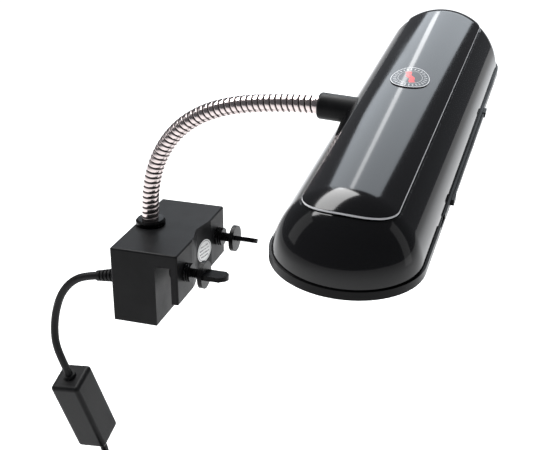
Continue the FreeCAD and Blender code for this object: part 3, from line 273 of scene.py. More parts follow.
class HoodSizes(bpy.types.PropertyGroup):
    half: length("Half width", 0.038, "Half width of the hood")
    high: length("Height", 0.0396, "Crown above the lower rim's plane")
    straight: length("Straight", 0.252, "Length of the even part")
    bulge: length("End bulge", 0.034, "Length of each rounded end")
    wall: length("Wall", 0.0022, "Thickness of the shell")
    rim: length("Rim level", 0.0047, "Lower edge of the shell above the bezel's underside")
    badge_across: length("Badge width", 0.0113, "Half width of the oval badge")
    badge_along: length("Badge length", 0.0146, "Half length of the oval badge")
    badge_shift: length("Badge shift", 0.010, "Badge's middle from the hood's middle")
    panel_edge: slant("Panel edge", 51.7, "How far up the section the top panel starts")
    end_swell: slant(
        "End swell", 8.5, "How much the panel's edge stands back from each rounded end"
    )
    panel_rise: length("Panel rise", 0.0009, "Height of the top panel above the shell")
    slope: slant("Slope", 3.2, "Sleeve's fall from level")
    lean: slant("Lean", 6.7, "Rise of the hood's far end")
    reach: length("Reach", 0.0554, "Neck's last joint to the hood's middle plane")
    level: length("Sleeve level", 0.0195, "Sleeve's axis above the hood's lower rim")


class CordSizes(bpy.types.PropertyGroup):
    diameter: length("Diameter", 0.0054, "Outer diameter of the cord")
    coil_outer: length("Outer layer", 0.0342, "Radius of the coil's outer layer")
    coil_inner: length("Inner layer", 0.0288, "Radius of the coil's inner layer")
    turns: IntProperty(
        name="Turns", default=3, min=1, description="Turns in each of the coil's two layers"
    )
    points: IntProperty(name="Points", default=14, min=12, description="Route points in one turn")


class Colours(bpy.types.PropertyGroup):
    moulding: paint("Moulding", (0.0085, 0.0085, 0.009), "Satin black of the clamp")
    gloss: paint("Gloss", (0.0045, 0.0045, 0.005), "Glossy black of the hood")
    chrome: paint("Chrome", (0.66, 0.58, 0.57), "Spiral tube")
    label: paint("Label", (0.82, 0.82, 0.81), "Rating label")
    mark: paint("Mark", (0.62, 0.03, 0.03), "Red of the badge")
    floor: paint("Floor", (0.93, 0.93, 0.93), "Studio floor")


class ViewSettings(bpy.types.PropertyGroup):
    place: FloatVectorProperty(
        name="Camera", default=(0.24787, -0.58022, 0.29688), subtype="TRANSLATION",
        unit="LENGTH", description="Where the camera stands",
    )
    dip: slant("Dip", 23.45, "Camera's angle below level")
    swing: slant("Swing", 17.56, "Camera's turn to the left")
    lens: FloatProperty(
        name="Lens", default=69.55, description="Focal length in millimetres, 36 mm sensor"
    )
    floor_drop: length("Floor", 0.012, "Floor below the lowest piece")
    ambient: strength("Ambient", 0.14, "Strength of the even light")
    floor_glow: strength("Floor glow", 0.40, "Light that the floor gives")


def settings(name):
    return getattr(bpy.context.scene, "aquarium_" + name)


# -------------------------------------------------------------------------------- shader maths


class Wire:
    """A node's output that takes part in sums."""

    def __init__(self, look, socket):
        self.look = look
        self.socket = socket

    def _math(self, operation, first, second):
        return self.look.node("ShaderNodeMath", {"operation": operation}, {0: first, 1: second})

    def __add__(self, other):
        return self._math("ADD", self, other)

    def __radd__(self, other):
        return self._math("ADD", other, self)

    def __sub__(self, other):
        return self._math("SUBTRACT", self, other)

    def __mul__(self, other):
        return self._math("MULTIPLY", self, other)

    def __gt__(self, other):
        return self._math("GREATER_THAN", self, other)

    def __lt__(self, other):
        return self._math("LESS_THAN", self, other)

    def __abs__(self):
        return self._math("ABSOLUTE", self, 0.0)

    def power(self, other):
        return self._math("POWER", self, other)

    def between(self, low, high):
        return (self > low) * (self < high)

    def fraction(self):
        return self._math("FRACT", self, 0.0)


class Look:
    """A material that is being made."""

    def __init__(self, name, colour, roughness, **constants):
        self.material = bpy.data.materials.new(name)
        self.material.use_nodes = True
        self.tree = self.material.node_tree
        self.shader = self.tree.nodes["Principled BSDF"]
        self.set("Base Color", (*colour, 1.0))
        self.set("Roughness", roughness)
        for word, value in constants.items():
            self.set(word.replace("_", " ").title().replace("Ior", "IOR"), value)

    def set(self, socket, value):
        target = self.shader.inputs[socket]
        if isinstance(value, Wire):
            self.tree.links.new(value.socket, target)
        else:
            target.default_value = value

    def node(self, kind, choices, inputs, output=0):
        made = self.tree.nodes.new(kind)
        for word, choice in choices.items():
            setattr(made, word, choice)
        for word, value in inputs.items():
            if isinstance(value, Wire):
                self.tree.links.new(value.socket, made.inputs[word])
            else:
                made.inputs[word].default_value = value
        return Wire(self, made.outputs[output])

    def place(self, where="Object"):
        return self.node("ShaderNodeTexCoord", {}, {}, where)

    def noise(self, vector, scale, detail=3.0):
        return self.node(
            "ShaderNodeTexNoise", {},
            {"Vector": vector, "Scale": scale, "Detail": detail, "Roughness": NOISE_ROUGHNESS},
        )

    def spread(self, value, low, high):
        """Maps the middle of a noise's range to low..high."""
        return self.node(
            "ShaderNodeMapRange", {"clamp": True},
            {
                "Value": value, "From Min": NOISE_LOW, "From Max": NOISE_HIGH,
                "To Min": low, "To Max": high,
            },
        )

    def mix(self, factor, first, second):
        inputs = {0: factor}
        for index, colour in ((6, first), (7, second)):
            inputs[index] = colour if isinstance(colour, Wire) else (*colour, 1.0)
        return self.node("ShaderNodeMix", {"data_type": "RGBA"}, inputs, 2)

    def stretched(self, vector, location, rotation, scale):
        return self.node(
            "ShaderNodeMapping", {"vector_type": "TEXTURE"},
            {"Vector": vector, "Location": location, "Rotation": rotation, "Scale": scale},
        )

    def parts(self, vector):
        split = self.node("ShaderNodeSeparateXYZ", {}, {"Vector": vector})
        return [Wire(self, socket) for socket in split.socket.node.outputs]

    def bump(self, height, depth, strength):
        inputs = {"Height": height, "Distance": depth, "Strength": strength}
        self.set("Normal", self.node("ShaderNodeBump", {}, inputs))

    def clouded(self, cloud, first, second):
        """Base colour between two colours, as the noise's value says."""
        self.set("Base Color", self.mix(self.spread(cloud, 0.0, 1.0), first, second))


def lighter(colour, by):
    return tuple(min(1.0, part * by) for part in colour)


def moulded(name, colour, roughness=0.42, grain=2600.0, depth=0.00004):
    """Satin moulded plastic: a fine spark-eroded grain with faint handling marks."""
    look = Look(name, colour, roughness, specular_ior_level=0.10)
    where = look.place()
    cloud = look.noise(where, 38.0, 4.0)
    fine = look.noise(where, grain, 2.0)
    look.clouded(cloud, lighter(colour, 0.8), lighter(colour, 1.45))
    look.set("Roughness", look.spread(cloud, roughness - 0.07, roughness + 0.09))
    look.bump(fine, depth, 0.6)
    return look


def threaded(name, colour):
    """Smooth moulding with turned ridges on the thumb screws' threads and on their bushes, with painted shade in the
    grooves and a painted highlight on the crests.
    """
    look = moulded(name, colour, 0.24, 1800.0, 0.00003)
    across = look.parts(look.place())[0]
    ridge = abs((across * THREADS).fraction() - 0.5) * 2.0
    raised = ridge * across.between(THREAD_FROM, THREAD_TO)
    look.bump(raised, 0.0009, 1.0)
    # Painted shade and highlight: the base colour is dark in the thread's grooves and off the thread, pale on its
    # crests
    look.set("Base Color", look.mix(raised, lighter(colour, 0.5), lighter(colour, 1.3)))
    return look


def polished(name, colour, roughness=0.06, rim=None):
    """High-gloss moulded plastic: nearly a mirror, slightly wavy, with dust in patches.
    A pale painted highlight shows on the rows that are marked as the piece's edge."""
    look = Look(name, colour, roughness, coat_roughness=0.03, specular_ior_level=0.32)
    look.set("Coat Weight", 0.12)
    where = look.place()
    haze = look.noise(where, 14.0, 5.0)
    specks = look.noise(where, 900.0, 2.0)
    look.set("Roughness", look.spread(haze, roughness - 0.02, roughness + 0.05))
    film = look.mix(look.spread(specks, 0.0, 0.2), colour, lighter(colour, 2.0))
    if rim:
        # Painted highlight: the rows marked Rim take a pale colour
        edge = look.node("ShaderNodeAttribute", {"attribute_name": "Rim"}, {}, "Fac")
        film = look.mix(edge, film, rim)
    look.set("Base Color", film)
    look.bump(look.noise(where, 9.0, 2.0), 0.00012, 0.35)
    return look


def metal(name, colour, roughness=0.2, streak=60.0):
    """Plated or extruded metal with fine drawing lines."""
    look = Look(name, colour, roughness, metallic=1.0)
    where = look.place()
    drawn = look.stretched(where, (0, 0, 0), (0, 0, 0), (1.0, 0.08, 1.0))
    lines = look.noise(drawn, streak * 20, 3.0)
    cloud = look.noise(where, 120.0, 3.0)
    look.set("Roughness", look.spread(lines, roughness - 0.06, roughness + 0.1))
    look.clouded(cloud, lighter(colour, 0.86), colour)
    look.bump(lines, 0.00002, 0.5)
    return look


def rubbery(name, colour, roughness=0.5):
    """Soft PVC: an even matt skin with a slight orange peel and dust."""
    look = Look(name, colour, roughness, specular_ior_level=0.15)
    where = look.place()
    dust = look.noise(where, 260.0, 4.0)
    look.set("Roughness", look.spread(dust, roughness - 0.08, roughness + 0.08))
    look.clouded(dust, lighter(colour, 0.85), lighter(colour, 1.5))
    look.bump(look.noise(where, 1500.0, 2.0), 0.00006, 0.5)
    return look


def spiral_chrome(name, colour):
    """Interlocked metal hose: bright bands, with painted shade in the gaps between them."""
    look = metal(name, colour, 0.16, 90.0)
    across = look.parts(look.place("UV"))[1].fraction()
    gap = abs(across - 0.5) * 2.0
    # Painted shade: the base colour goes near black towards each gap between the bands
    gap_shade = look.node(
        "ShaderNodeMapRange", {"clamp": True},
        {"Value": gap, "From Min": GAP_FROM, "From Max": GAP_FULL, "To Min": 0.0, "To Max": 1.0},
    )
    look.set("Base Color", look.mix(gap_shade, colour, GAP_PAINTED_SHADE))
    look.set("Roughness", 0.15 + gap_shade * 0.4)
    return look


def clear_lens(name):
    """Ribbed clear acrylic over the diodes."""
    look = Look(name, (0.86, 0.89, 0.92), 0.12, ior=1.49)
    look.set("Alpha", 0.42)
    along = look.parts(look.place())[1]
    ribs = abs((along * LENS_RIBS).fraction() - 0.5)
    look.bump(ribs, 0.0004, 0.5)
    look.set("Roughness", 0.1 + ribs * 0.2)
    return look


def printed_label(name, colour):
    """White film with a printed border and a few plain lines, none of them writing."""
    look = Look(name, colour, 0.35)
    where = look.place()
    _, y, z = look.parts(where)
    low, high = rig.box("rating_label")
    middle, reach = (low + high) / 2, (high - low) / 2
    level = (z - middle.z) * (1 / reach.z)
    side = (y - middle.y) * (1 / reach.y)
    oval = side * side + level * level
    border = oval.between(0.74, 0.82)
    inside = oval < 0.5
    line = abs((z * LABEL_LINES).fraction() - 0.5) < 0.2
    upright = look.stretched(where, (0, 0, 0), (0, 0, 0), (1, 1, 0.2))
    dashes = look.noise(upright, 700.0, 1.0) > 0.47
    ink = border + inside * line * dashes
    fibre = look.noise(where, 800.0, 3.0)
    film = look.mix(look.spread(fibre, 0.0, 1.0), lighter(colour, 0.93), colour)
    look.set("Base Color", look.mix(ink * 0.85, film, INK))
    look.bump(fibre, 0.00002, 0.4)
    return look


def round_badge(name, colour, mark):
    """Dark film with two pale rings, ticks between them and a plain red bar."""
    look = Look(name, colour, 0.12, coat_roughness=0.05, specular_ior_level=0.3)
    look.set("Coat Weight", 0.1)
    hood = settings("hood")
    local = look.stretched(
        look.place(), head_place().translation, head_turn().to_euler(), (1, 1, 1)
    )
    x, y, _ = look.parts(local)
    x = x * (1 / hood.badge_across)
    y = (y - hood.badge_shift) * (1 / hood.badge_along)
    radius = (x * x + y * y).power(0.5)
    rings = radius.between(0.95, 0.98) + radius.between(0.60, 0.62) * 0.7
    angle = look.node("ShaderNodeMath", {"operation": "ARCTAN2"}, {0: y, 1: x})
    ticks = radius.between(0.70, 0.86) * ((angle * (BADGE_TICKS / math.tau)).fraction() < 0.36)
    lean_cos, lean_sin = math.cos(BADGE_BAR_LEAN), math.sin(BADGE_BAR_LEAN)
    across = x * lean_cos + y * lean_sin
    along = y * lean_cos - x * lean_sin
    wave = look.node("ShaderNodeMath", {"operation": "SINE"}, {0: along * 11.0}) * 0.05
    bar = (abs(along) < 0.55) * (abs(across + wave) < 0.15)
    film = look.mix(rings + ticks * 0.5, colour, PALE_PRINT)
    look.set("Base Color", look.mix(bar, film, mark))
    look.set("Roughness", 0.12 + (rings + bar) * 0.15)
    return look


def diode_look(name):
    """Yellow phosphor of an LED that is off, with a fine grain."""
    look = Look(name, (0.9, 0.82, 0.4), 0.4)
    look.clouded(look.noise(look.place(), 1500.0, 2.0), (0.9, 0.78, 0.3), (0.95, 0.9, 0.6))
    return look


def circuit(name, colour):
    """Solder mask with faint tracks under it."""
    look = Look(name, colour, 0.35)
    where = look.place()
    along = look.parts(where)[1]
    track = abs((along * TRACKS).fraction() - 0.5) < 0.12
    look.set("Base Color", look.mix(track * 0.35, colour, lighter(colour, 1.6)))
    look.set("Roughness", look.spread(look.noise(where, 200.0, 2.0), 0.28, 0.42))
    look.bump(track, 0.00004, 0.5)
    return look


LOOKS = {}


def make_looks():
    """One finished look for each material slot of the frame's record."""
    tint = settings("colours")
    black, gloss, chrome = tuple(tint.moulding), tuple(tint.gloss), tuple(tint.chrome)
    LOOKS.update({
        "clamp_black": moulded("Satin black moulding", black, 0.40),
        "screw_black": threaded("Screw black", lighter(black, 0.8)),
        "label_white": printed_label("Rating label", tuple(tint.label)),
        "neck_chrome": spiral_chrome("Spiral chrome", chrome),
        "nut_chrome": metal("Plated nut", lighter(chrome, 0.95), 0.14),
        "sleeve_black": moulded("Sleeve black", black, 0.36),
        "hood_black": polished("Hood gloss", gloss, 0.07),
        "panel_black": polished("Panel gloss", lighter(gloss, 1.2), 0.11, PAINTED_EDGE_HIGHLIGHT),
        "bezel_black": moulded("Bezel satin", lighter(gloss, 0.6), 0.3, 1500.0, 0.00002),
        "badge_film": round_badge("Round badge", (0.02, 0.02, 0.022), tuple(tint.mark)),
        "lens_clear": clear_lens("Clear lens"),
        "gasket_grey": rubbery("Gasket", (0.08, 0.08, 0.08), 0.7),
        "reflector_white": moulded("Reflector", (0.8, 0.8, 0.8), 0.25, 900.0, 0.00002),
        "circuit_white": circuit("White board", (0.72, 0.73, 0.71)),
        "circuit_green": circuit("Green board", (0.03, 0.2, 0.08)),
        "diode": diode_look("Diode"),
        "spreader": metal("Heat spreader", (0.75, 0.76, 0.77), 0.32),
        "fastener": metal("Fastener", (0.55, 0.55, 0.57), 0.3),
        "brass": metal("Brass", (0.72, 0.56, 0.25), 0.28),
        "lead_pvc": rubbery("Lead", (0.1, 0.1, 0.4), 0.45),
        "cord_pvc": rubbery("Cord", lighter(black, 0.9), 0.46),
        "switch_black": moulded("Switch black", black, 0.38),
        "rocker_black": moulded("Rocker black", lighter(black, 0.9), 0.3),
        "component": moulded("Component", (0.06, 0.06, 0.12), 0.4),
        "pin_nickel": metal("Nickel pin", (0.72, 0.7, 0.64), 0.2),
        "pad_rubber": rubbery("Pad rubber", lighter(black, 1.1), 0.6),
    })


# ---------------------------------------------------------------------------------- mesh tools


def finished(name, mesh_builder, body, slot, replaced=()):
    """Turns a bmesh into a smooth piece that rides on a body."""
    mesh = bpy.data.meshes.new(name)
    mesh_builder.to_mesh(mesh)
    mesh_builder.free()
    mesh.shade_smooth()
    mesh.set_sharp_from_angle(angle=SHARP_ANGLE)
    mesh.materials.append(LOOKS[slot].material)
    piece = bpy.data.objects.new(name, mesh)
    bpy.context.scene.collection.objects.link(piece)
    if body:
        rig.ride(piece, body)
    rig.slot(piece, slot)
    if replaced:
        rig.replaces(piece, *replaced)
    return piece


def skin(rows, columns, place, turns=None, marked=()):
    """A sheet of rows by columns that is laid on a form and closed where its edges meet.
    The marked rows get 1 in the attribute Rim, the mask of a painted edge highlight."""
    sheet = bmesh.new()
    bmesh.ops.create_grid(sheet, x_segments=rows, y_segments=columns, size=1.0)
    chart = sheet.loops.layers.uv.new("Spiral") if turns else None
    rim = sheet.verts.layers.float.new("Rim") if marked else None
    spots = {}
    for vertex in sheet.verts:
        row = round((vertex.co.x + 1) / 2 * rows)
        column = round((vertex.co.y + 1) / 2 * columns)
        spots[vertex] = (row, column)
        if marked:
            vertex[rim] = float(row in marked)
        vertex.co = place(row, column)
    if turns:
        for face in sheet.faces:
            for loop in face.loops:
                loop[chart].uv = turns(*spots[loop.vert])
    bmesh.ops.remove_doubles(sheet, verts=sheet.verts, dist=WELD)
    bmesh.ops.dissolve_degenerate(sheet, edges=sheet.edges, dist=WELD)
    return sheet


def closed(sheet):
    """Fills a tube's open ends and points its faces outwards."""
    bmesh.ops.holes_fill(sheet, edges=[edge for edge in sheet.edges if edge.is_boundary], sides=0)
    bmesh.ops.recalc_face_normals(sheet, faces=sheet.faces)
    return sheet


# ---------------------------------------------------------------------------------------- head


def head_turn():
    hood = settings("hood")
    return Matrix.Rotation(hood.slope, 3, "Y") @ Matrix.Rotation(hood.lean, 3, "X")


def head_place():
    """The head's own frame: +X across, +Y to its far end, +Z up from the lower rim."""
    hood = settings("hood")
    turn = head_turn()
    last = Vector(JOINTS["sway_10"]["pos_m"])
    return Matrix.Translation(last + turn @ Vector((hood.reach, 0, -hood.level))) @ turn.to_4x4()


def stadium():
    """(angle, end) of each point round the hood, once round and back to the first."""
    ring = [(math.pi * step / END_STEPS, 1) for step in range(END_STEPS + 1)]
    ring += [(math.pi + math.pi * step / END_STEPS, -1) for step in range(END_STEPS + 1)]
    return ring + ring[:1]


def crown_point(rise, lift, angle, end):
    """A point of the hood's form, raised by lift: rise is its angle up the section."""
    hood = settings("hood")
    low = math.asin(hood.rim / hood.high)
    share = max(0.0, (rise - low) / (math.pi / 2 - low))
    rise += hood.end_swell * math.sin(math.pi * share) * math.sin(angle) ** 2
    flat = math.cos(rise)
    return Vector((
        (hood.half + lift) * flat * math.cos(angle),
        end * hood.straight / 2 + (hood.bulge + lift) * flat * math.sin(angle),
        (hood.high + lift) * math.sin(rise),
    ))


def crown_skin(profile, marked=()):
    """Sweeps a profile of (rise, lift) pairs round the hood, in the hood's place."""
    ring = stadium()

    def place(row, column):
        return crown_point(*profile[row], *ring[column])

    sheet = skin(len(profile) - 1, len(ring) - 1, place, marked=marked)
    closed(sheet)
    sheet.transform(head_place())
    return sheet


def steps(first, last, count):
    return [first + (last - first) * step / count for step in range(count + 1)]


def build_hood():
    """Shell with the panel's groove, and the raised top panel."""
    hood = settings("hood")
    edge = hood.panel_edge
    top = math.pi / 2
    line = math.radians(0.3)
    gap = math.radians(1.8)
    groove_deep = -0.8 * MM
    low = math.asin(hood.rim / hood.high)
    inner_low = math.asin(hood.rim / (hood.high - hood.wall))
    outer = [(rise, 0.0) for rise in steps(top, edge + line, 10)]
    outer += [
        (edge + line * 0.8, groove_deep), (edge - gap, groove_deep),
        (edge - gap - line * 0.5, -0.1 * MM),
    ]
    outer += [(rise, 0.0) for rise in steps(edge - gap - line, low, 20)]
    inner = [(rise, -hood.wall) for rise in steps(inner_low, top, 14)]
    finished("hood_shell", crown_skin(outer + inner), "head", "hood_black", ["hood"])
    rise = hood.panel_rise
    panel = [(angle, rise) for angle in steps(top, edge + line * 3.8, 22)]
    first = len(panel)
    panel += [
        (edge + line * 3.2, rise - 0.02 * MM), (edge + line * 1.6, rise - 0.2 * MM),
        (edge, rise - 0.6 * MM),
    ]
    panel += [(edge, 0.08 * MM)] + [(angle, 0.05 * MM) for angle in steps(edge + line, top, 10)]
    # The three rows of the panel's rounded edge carry the painted highlight
    sheet = crown_skin(panel, marked=(first, first + 1, first + 2))
    finished("hood_panel", sheet, "head", "panel_black", ["top_panel"])


# ----------------------------------------------------------------------------------- gooseneck


def neck_line():
    """Joint places along the gooseneck with the point half-way between each pair."""
    names = [
        f"{'bend' if number % 2 else 'sway'}_{number}" for number in range(1, NECK_JOINTS + 1)
    ]
    joints = [Vector(JOINTS[name]["pos_m"]) for name in names]
    _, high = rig.box("neck_flange_nut")
    start = Vector((joints[0].x, 0.0, high.z))
    end = joints[-1] + head_turn() @ Vector((4.5 * MM, 0, 0))
    middles = [start] + [(a + b) / 2 for a, b in zip(joints, joints[1:])] + [end]
    return joints, middles


def build_neck():
    """One length of spiral hose for each joint, meeting its neighbours half-way between joints."""
    neck = settings("neck")
    joints, middles = neck_line()
    travelled = 0.0
    bodies = ["clamp"] + [f"neck_{number}" for number in range(1, NECK_JOINTS)] + ["neck_end"]
    for number, joint in enumerate(joints):
        first, last = middles[number], middles[number + 1]
        long = (joint - first).length + (last - joint).length
        rows = max(6, round(long / neck.pitch * neck.per_pitch))
        line = []
        for row in range(rows + 1):
            share = row / rows
            line.append(first.lerp(joint, share).lerp(joint.lerp(last, share), share))
        distance = [travelled]
        for before, after in zip(line, line[1:]):
            distance.append(distance[-1] + (after - before).length)

        def heading(row):
            return (line[min(row + 1, rows)] - line[max(row - 1, 0)]).normalized()

        def phase(row, column):
            return distance[row] / neck.pitch - column / neck.around

        def place(row, column):
            along = heading(row)
            side = Vector((0, 1, 0))
            up = along.cross(side)
            angle = math.tau * column / neck.around
            wave = abs(phase(row, column) % 1.0 - 0.5) * 2
            dip = neck.groove * (0.12 * wave ** 2 + 0.88 * max(0.0, (wave - 0.62) / 0.38) ** 2)
            out = side * math.cos(angle) + up * math.sin(angle)
            return line[row] + out * (neck.radius - dip)

        def turns(row, column):
            return column / neck.around, phase(row, column)

        tube = skin(rows, neck.around, place, turns)
        replaced = [f"neck_segment_{number}"] if number else []
        piece = finished(f"hose_{number + 1}", closed(tube), None, "neck_chrome", replaced)
        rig.blend(piece, bodies[number], bodies[number + 1], first, last)
        travelled = distance[-1]


# --------------------------------------------------------------------------------------- cords

RELIEF_TIP = Vector((-0.04999, -0.022, -0.01553))
RELIEF_AWAY = Vector((-math.cos(math.radians(10)), 0, -math.sin(math.radians(10))))
SWITCH_TOP = Vector((-0.0775, -0.0210, -0.0980))
SWITCH_DOWN = Vector((0.141, 0.291, -0.947)).normalized()
SWITCH_LONG = 0.062
GROMMET = 0.0025
COIL_CENTRE = Vector((-0.0605, -0.0320, -0.2060))
ENTRY_X, TURN_X, EXIT_X = -0.0660, -0.0495, -0.0716
# The tie's section as (aside, outwards) in millimetres; a lower squareness is a boxier loop
TIE_SECTION = [
    (-3.0, 0.3), (-2.6, 0.9), (2.6, 0.9), (3.0, 0.3), (2.6, 0.05), (-2.6, 0.05), (-3.0, 0.3),
]
TIE_SQUARENESS = 0.35
TIE_AROUND = 48


def upper_route():
    top = SWITCH_TOP - SWITCH_DOWN * GROMMET
    return [
        RELIEF_TIP, RELIEF_TIP + RELIEF_AWAY * 0.011,
        (-0.0708, -0.0220, -0.0238), (-0.0786, -0.0220, -0.0340), (-0.0832, -0.0224, -0.0473),
        (-0.0848, -0.0238, -0.0605), (-0.0836, -0.0253, -0.0725),
        top - SWITCH_DOWN * 0.010, top,
    ]


def coil_points():
    """Two layers of turns, outer then inner, with the last part-turn stepping out to the plug."""
    cord = settings("cord")
    stretch = 1 / math.cos(math.pi / cord.points)
    total = cord.turns * 2 * cord.points
    points = []
    for step in range(1, total):
        turn = step / cord.points
        outward = min(1.0, max(0.0, (cord.turns - turn) * 4 + 0.5))
        last = max(0.0, 1 - (2 * cord.turns - turn) / 0.35)
        radius = cord.coil_inner + (cord.coil_outer - cord.coil_inner) * max(outward, last)
        share = turn / cord.turns if turn <= cord.turns else 2 - turn / cord.turns
        across = ENTRY_X + (TURN_X - ENTRY_X) * share + (EXIT_X - ENTRY_X) * last
        angle = math.tau * turn
        points.append((
            across,
            COIL_CENTRE.y + radius * stretch * math.cos(angle),
            COIL_CENTRE.z - radius * stretch * math.sin(angle),
        ))
    return points


def lower_route():
    foot = SWITCH_TOP + SWITCH_DOWN * (SWITCH_LONG + GROMMET)
    y = COIL_CENTRE.y + settings("cord").coil_outer
    z = COIL_CENTRE.z
    lead = [
        foot, foot + SWITCH_DOWN * 0.010, (-0.0662, 0.0021, -0.1795),
        (ENTRY_X, y, z + 0.014), (ENTRY_X, y, z),
    ]
    tail = [(EXIT_X, y, z), (EXIT_X, y, z - 0.015), (-0.0710, 0.0026, -0.2360)]
    return lead + coil_points() + tail


def cord_curve(name, route, body, replaced):
    curve = bpy.data.curves.new(name, "CURVE")
    curve.dimensions = "3D"
    curve.bevel_depth = settings("cord").diameter / 2
    curve.bevel_resolution = 6
    curve.use_fill_caps = True
    spline = curve.splines.new("NURBS")
    spline.points.add(len(route) - 1)
    for point, spot in zip(spline.points, route):
        point.co = (*spot, 1.0)
    spline.order_u = 3
    spline.use_endpoint_u = True
    spline.resolution_u = 8
    curve.materials.append(LOOKS["cord_pvc"].material)
    piece = bpy.data.objects.new(name, curve)
    bpy.context.scene.collection.objects.link(piece)
    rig.ride(piece, body)
    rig.slot(piece, "cord_pvc")
    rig.replaces(piece, *replaced)
    return piece


def build_tie():
    """A soft band that holds the coil's turns together at their lowest point."""
    cord = settings("cord")
    round_it = cord.diameter / 2
    low_x, high_x = EXIT_X - round_it, TURN_X + round_it
    low_z = COIL_CENTRE.z - cord.coil_outer - round_it
    high_z = COIL_CENTRE.z - cord.coil_inner + round_it
    middle = Vector(((low_x + high_x) / 2, COIL_CENTRE.y, (low_z + high_z) / 2))
    half_x, half_z = (high_x - low_x) / 2, (high_z - low_z) / 2

    def squared(value):
        return math.copysign(abs(value) ** TIE_SQUARENESS, value)

    def place(row, column):
        angle = math.tau * column / TIE_AROUND
        aside, out = TIE_SECTION[row]
        across = squared(math.cos(angle)) * (half_x + out * MM)
        rise = squared(math.sin(angle)) * (half_z + out * MM)
        return middle + Vector((across, aside * MM, rise))

    band = skin(len(TIE_SECTION) - 1, TIE_AROUND, place)
    bmesh.ops.recalc_face_normals(band, faces=band.faces)
    return finished("tie_band", band, "clamp", SLOTS["coil_tie"], ["coil_tie"])


SWITCH_PIECES = [
    "switch_shell_front", "switch_shell_back", "switch_screws",
    "switch_contacts", "switch_grommets", "switch_rocker",
]


def build_cords():
    diameter = settings("cord").diameter
    route = upper_route()
    upper = cord_curve("cord_from_clamp", route, "clamp", ["cord_upper"])
    nodes = frame["nodes"]
    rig.cord(
        upper, exit=route[0], length=0.0985, diameter=diameter, far_end="fitting", stiffness="limp",
        lay="hanging", with_pieces=[nodes[name] for name in SWITCH_PIECES],
    )
    route = lower_route()
    lower = cord_curve("cord_to_plug", route, "clamp", ["cord_lead", "cord_coil", "cord_tail"])
    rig.cord(
        lower, exit=route[0], length=1.272, diameter=diameter, far_end="plug", stiffness="limp",
        lay="coiled", with_pieces=[build_tie(), nodes["plug_body"], nodes["plug_pins"]],
    )


# --------------------------------------------------------------------------------- CAD pieces


def dress_frame():
    """Gives each CAD node that still shows the look of its material slot."""
    for name, piece in frame["nodes"].items():
        piece.data.materials.clear()
        piece.data.materials.append(LOOKS[SLOTS[name]].material)


# --------------------------------------------------------------------------------------- stage


def softbox(name, place, target, wide, high, watts, colour):
    lamp = bpy.data.lights.new(name, "AREA")
    lamp.shape = "RECTANGLE"
    lamp.size, lamp.size_y = wide, high
    lamp.energy = watts
    lamp.color = colour
    box = bpy.data.objects.new(name, lamp)
    aim = Vector(target) - Vector(place)
    box.location = place
    box.rotation_euler = aim.to_track_quat("-Z", "Y").to_euler()
    bpy.context.scene.collection.objects.link(box)


def build_stage():
    view = settings("view")
    camera = bpy.data.objects.new("Camera", bpy.data.cameras.new("Camera"))
    bpy.context.scene.collection.objects.link(camera)
    camera.location = view.place
    camera.rotation_euler = Euler((math.pi / 2 - view.dip, 0, view.swing))
    camera.data.lens = view.lens
    camera.data.sensor_width = SENSOR
    camera.data.shift_x, camera.data.shift_y = CAMERA_SHIFT
    camera.data.clip_start = 0.01
    bpy.context.scene.camera = camera

    ground = CAD_BOX[0].z - view.floor_drop
    sheet = bmesh.new()
    bmesh.ops.create_grid(sheet, x_segments=8, y_segments=8, size=FLOOR_HALF)
    bmesh.ops.translate(sheet, verts=sheet.verts, vec=(0, FLOOR_BEHIND, ground))
    mesh = bpy.data.meshes.new("Floor")
    sheet.to_mesh(mesh)
    sheet.free()
    floor = bpy.data.objects.new("Floor", mesh)
    bpy.context.scene.collection.objects.link(floor)
    tint = tuple(settings("colours").floor)
    look = Look("Studio paper", tint, 0.85)
    look.clouded(look.noise(look.place(), 3.0, 2.0), tint, lighter(tint, 1.03))
    look.set("Emission Color", (*WHITE, 1.0))
    look.set("Emission Strength", view.floor_glow)
    mesh.materials.append(look.material)
    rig.stage(floor)

    world = bpy.data.worlds.new("Studio")
    bpy.context.scene.world = world
    world.use_nodes = True
    background = world.node_tree.nodes["Background"]
    background.inputs["Color"].default_value = SKY
    background.inputs["Strength"].default_value = view.ambient
    for softbox_settings in (
        ("Back", (-0.15, 2.6, 1.75), HOOD_AIM, 2.3, 1.6, 27.0, DAYLIGHT),
        ("Back strip", (-0.16, 1.45, 1.15), HOOD_AIM, 0.10, 0.8, 0.9, WHITE),
        ("Overhead", (-0.70, 0.45, 1.9), HOOD_AIM, 2.2, 1.1, 80.0, WHITE),
        ("Right", (1.7, 0.3, 0.45), HOOD_AIM, 0.5, 1.4, 1.0, WHITE),
        ("Left", (-1.6, -0.3, 0.8), CLAMP_AIM, 0.7, 1.2, 1.6, WHITE),
    ):
        softbox(*softbox_settings)
    bpy.context.scene.view_settings.view_transform = "Standard"


# ----------------------------------------------------------------------------------- operators


class AQUARIUM_OT_looks(bpy.types.Operator):
    """Makes one finished look for each material slot"""

    bl_idname = "aquarium.looks"
    bl_label = "Looks"

    def execute(self, context):
        make_looks()
        return {"FINISHED"}


class AQUARIUM_OT_stage(bpy.types.Operator):
    """Sets up the camera, the floor and the studio lights"""

    bl_idname = "aquarium.stage"
    bl_label = "Stage"

    def execute(self, context):
        build_stage()
        return {"FINISHED"}


class AQUARIUM_OT_cords(bpy.types.Operator):
    """Lays the cord from the clamp to the switch, and from there to the plug"""

    bl_idname = "aquarium.cords"
    bl_label = "Cords"

    def execute(self, context):
        build_cords()
        return {"FINISHED"}


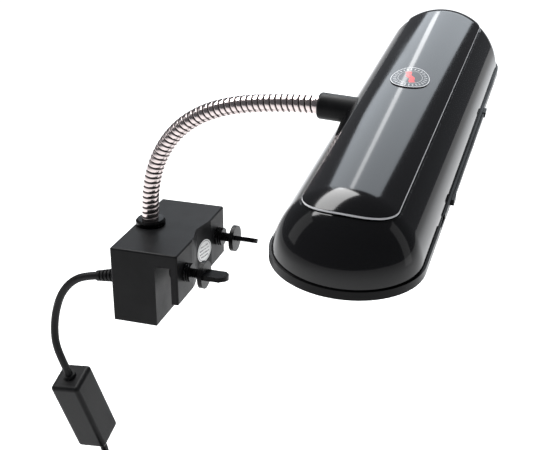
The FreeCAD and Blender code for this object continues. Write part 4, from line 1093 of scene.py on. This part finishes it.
class AQUARIUM_OT_neck(bpy.types.Operator):
    """Makes the spiral hose of the gooseneck"""

    bl_idname = "aquarium.neck"
    bl_label = "Gooseneck"

    def execute(self, context):
        build_neck()
        return {"FINISHED"}


class AQUARIUM_OT_hood(bpy.types.Operator):
    """Makes the hood's shell and its top panel"""

    bl_idname = "aquarium.hood"
    bl_label = "Hood"

    def execute(self, context):
        build_hood()
        return {"FINISHED"}


class AQUARIUM_OT_frame(bpy.types.Operator):
    """Dresses the CAD nodes that still show"""

    bl_idname = "aquarium.frame"
    bl_label = "Frame"

    def execute(self, context):
        dress_frame()
        return {"FINISHED"}


class AQUARIUM_PT_panel(bpy.types.Panel):
    bl_idname = "AQUARIUM_PT_panel"
    bl_label = "Aquarium light"
    bl_space_type = "VIEW_3D"
    bl_region_type = "UI"
    bl_category = "Aquarium"

    def draw(self, context):
        for word in ORDER:
            self.layout.operator("aquarium." + word)
        for word, group in GROUPS.items():
            for prop in group.__annotations__:
                self.layout.prop(getattr(context.scene, "aquarium_" + word), prop)


ORDER = ("looks", "stage", "cords", "neck", "hood", "frame")
GROUPS = {
    "neck": NeckSizes,
    "hood": HoodSizes,
    "cord": CordSizes,
    "colours": Colours,
    "view": ViewSettings,
}
CLASSES = (
    *GROUPS.values(), AQUARIUM_OT_looks, AQUARIUM_OT_stage, AQUARIUM_OT_cords, AQUARIUM_OT_neck,
    AQUARIUM_OT_hood, AQUARIUM_OT_frame, AQUARIUM_PT_panel,
)


def register():
    for made in CLASSES:
        bpy.utils.register_class(made)
    for word, group in GROUPS.items():
        setattr(bpy.types.Scene, "aquarium_" + word, PointerProperty(type=group))


def unregister():
    for word in GROUPS:
        delattr(bpy.types.Scene, "aquarium_" + word)
    for made in reversed(CLASSES):
        bpy.utils.unregister_class(made)


def main():
    register()
    for word in ORDER:
        getattr(bpy.ops.aquarium, word)()
    boxes = {"cad": [list(corner) for corner in CAD_BOX], "visual": [list(corner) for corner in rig.bounds()]}
    with open("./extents.json", "w") as out:
        json.dump(boxes, out)


if __name__ == "__main__":
    main()
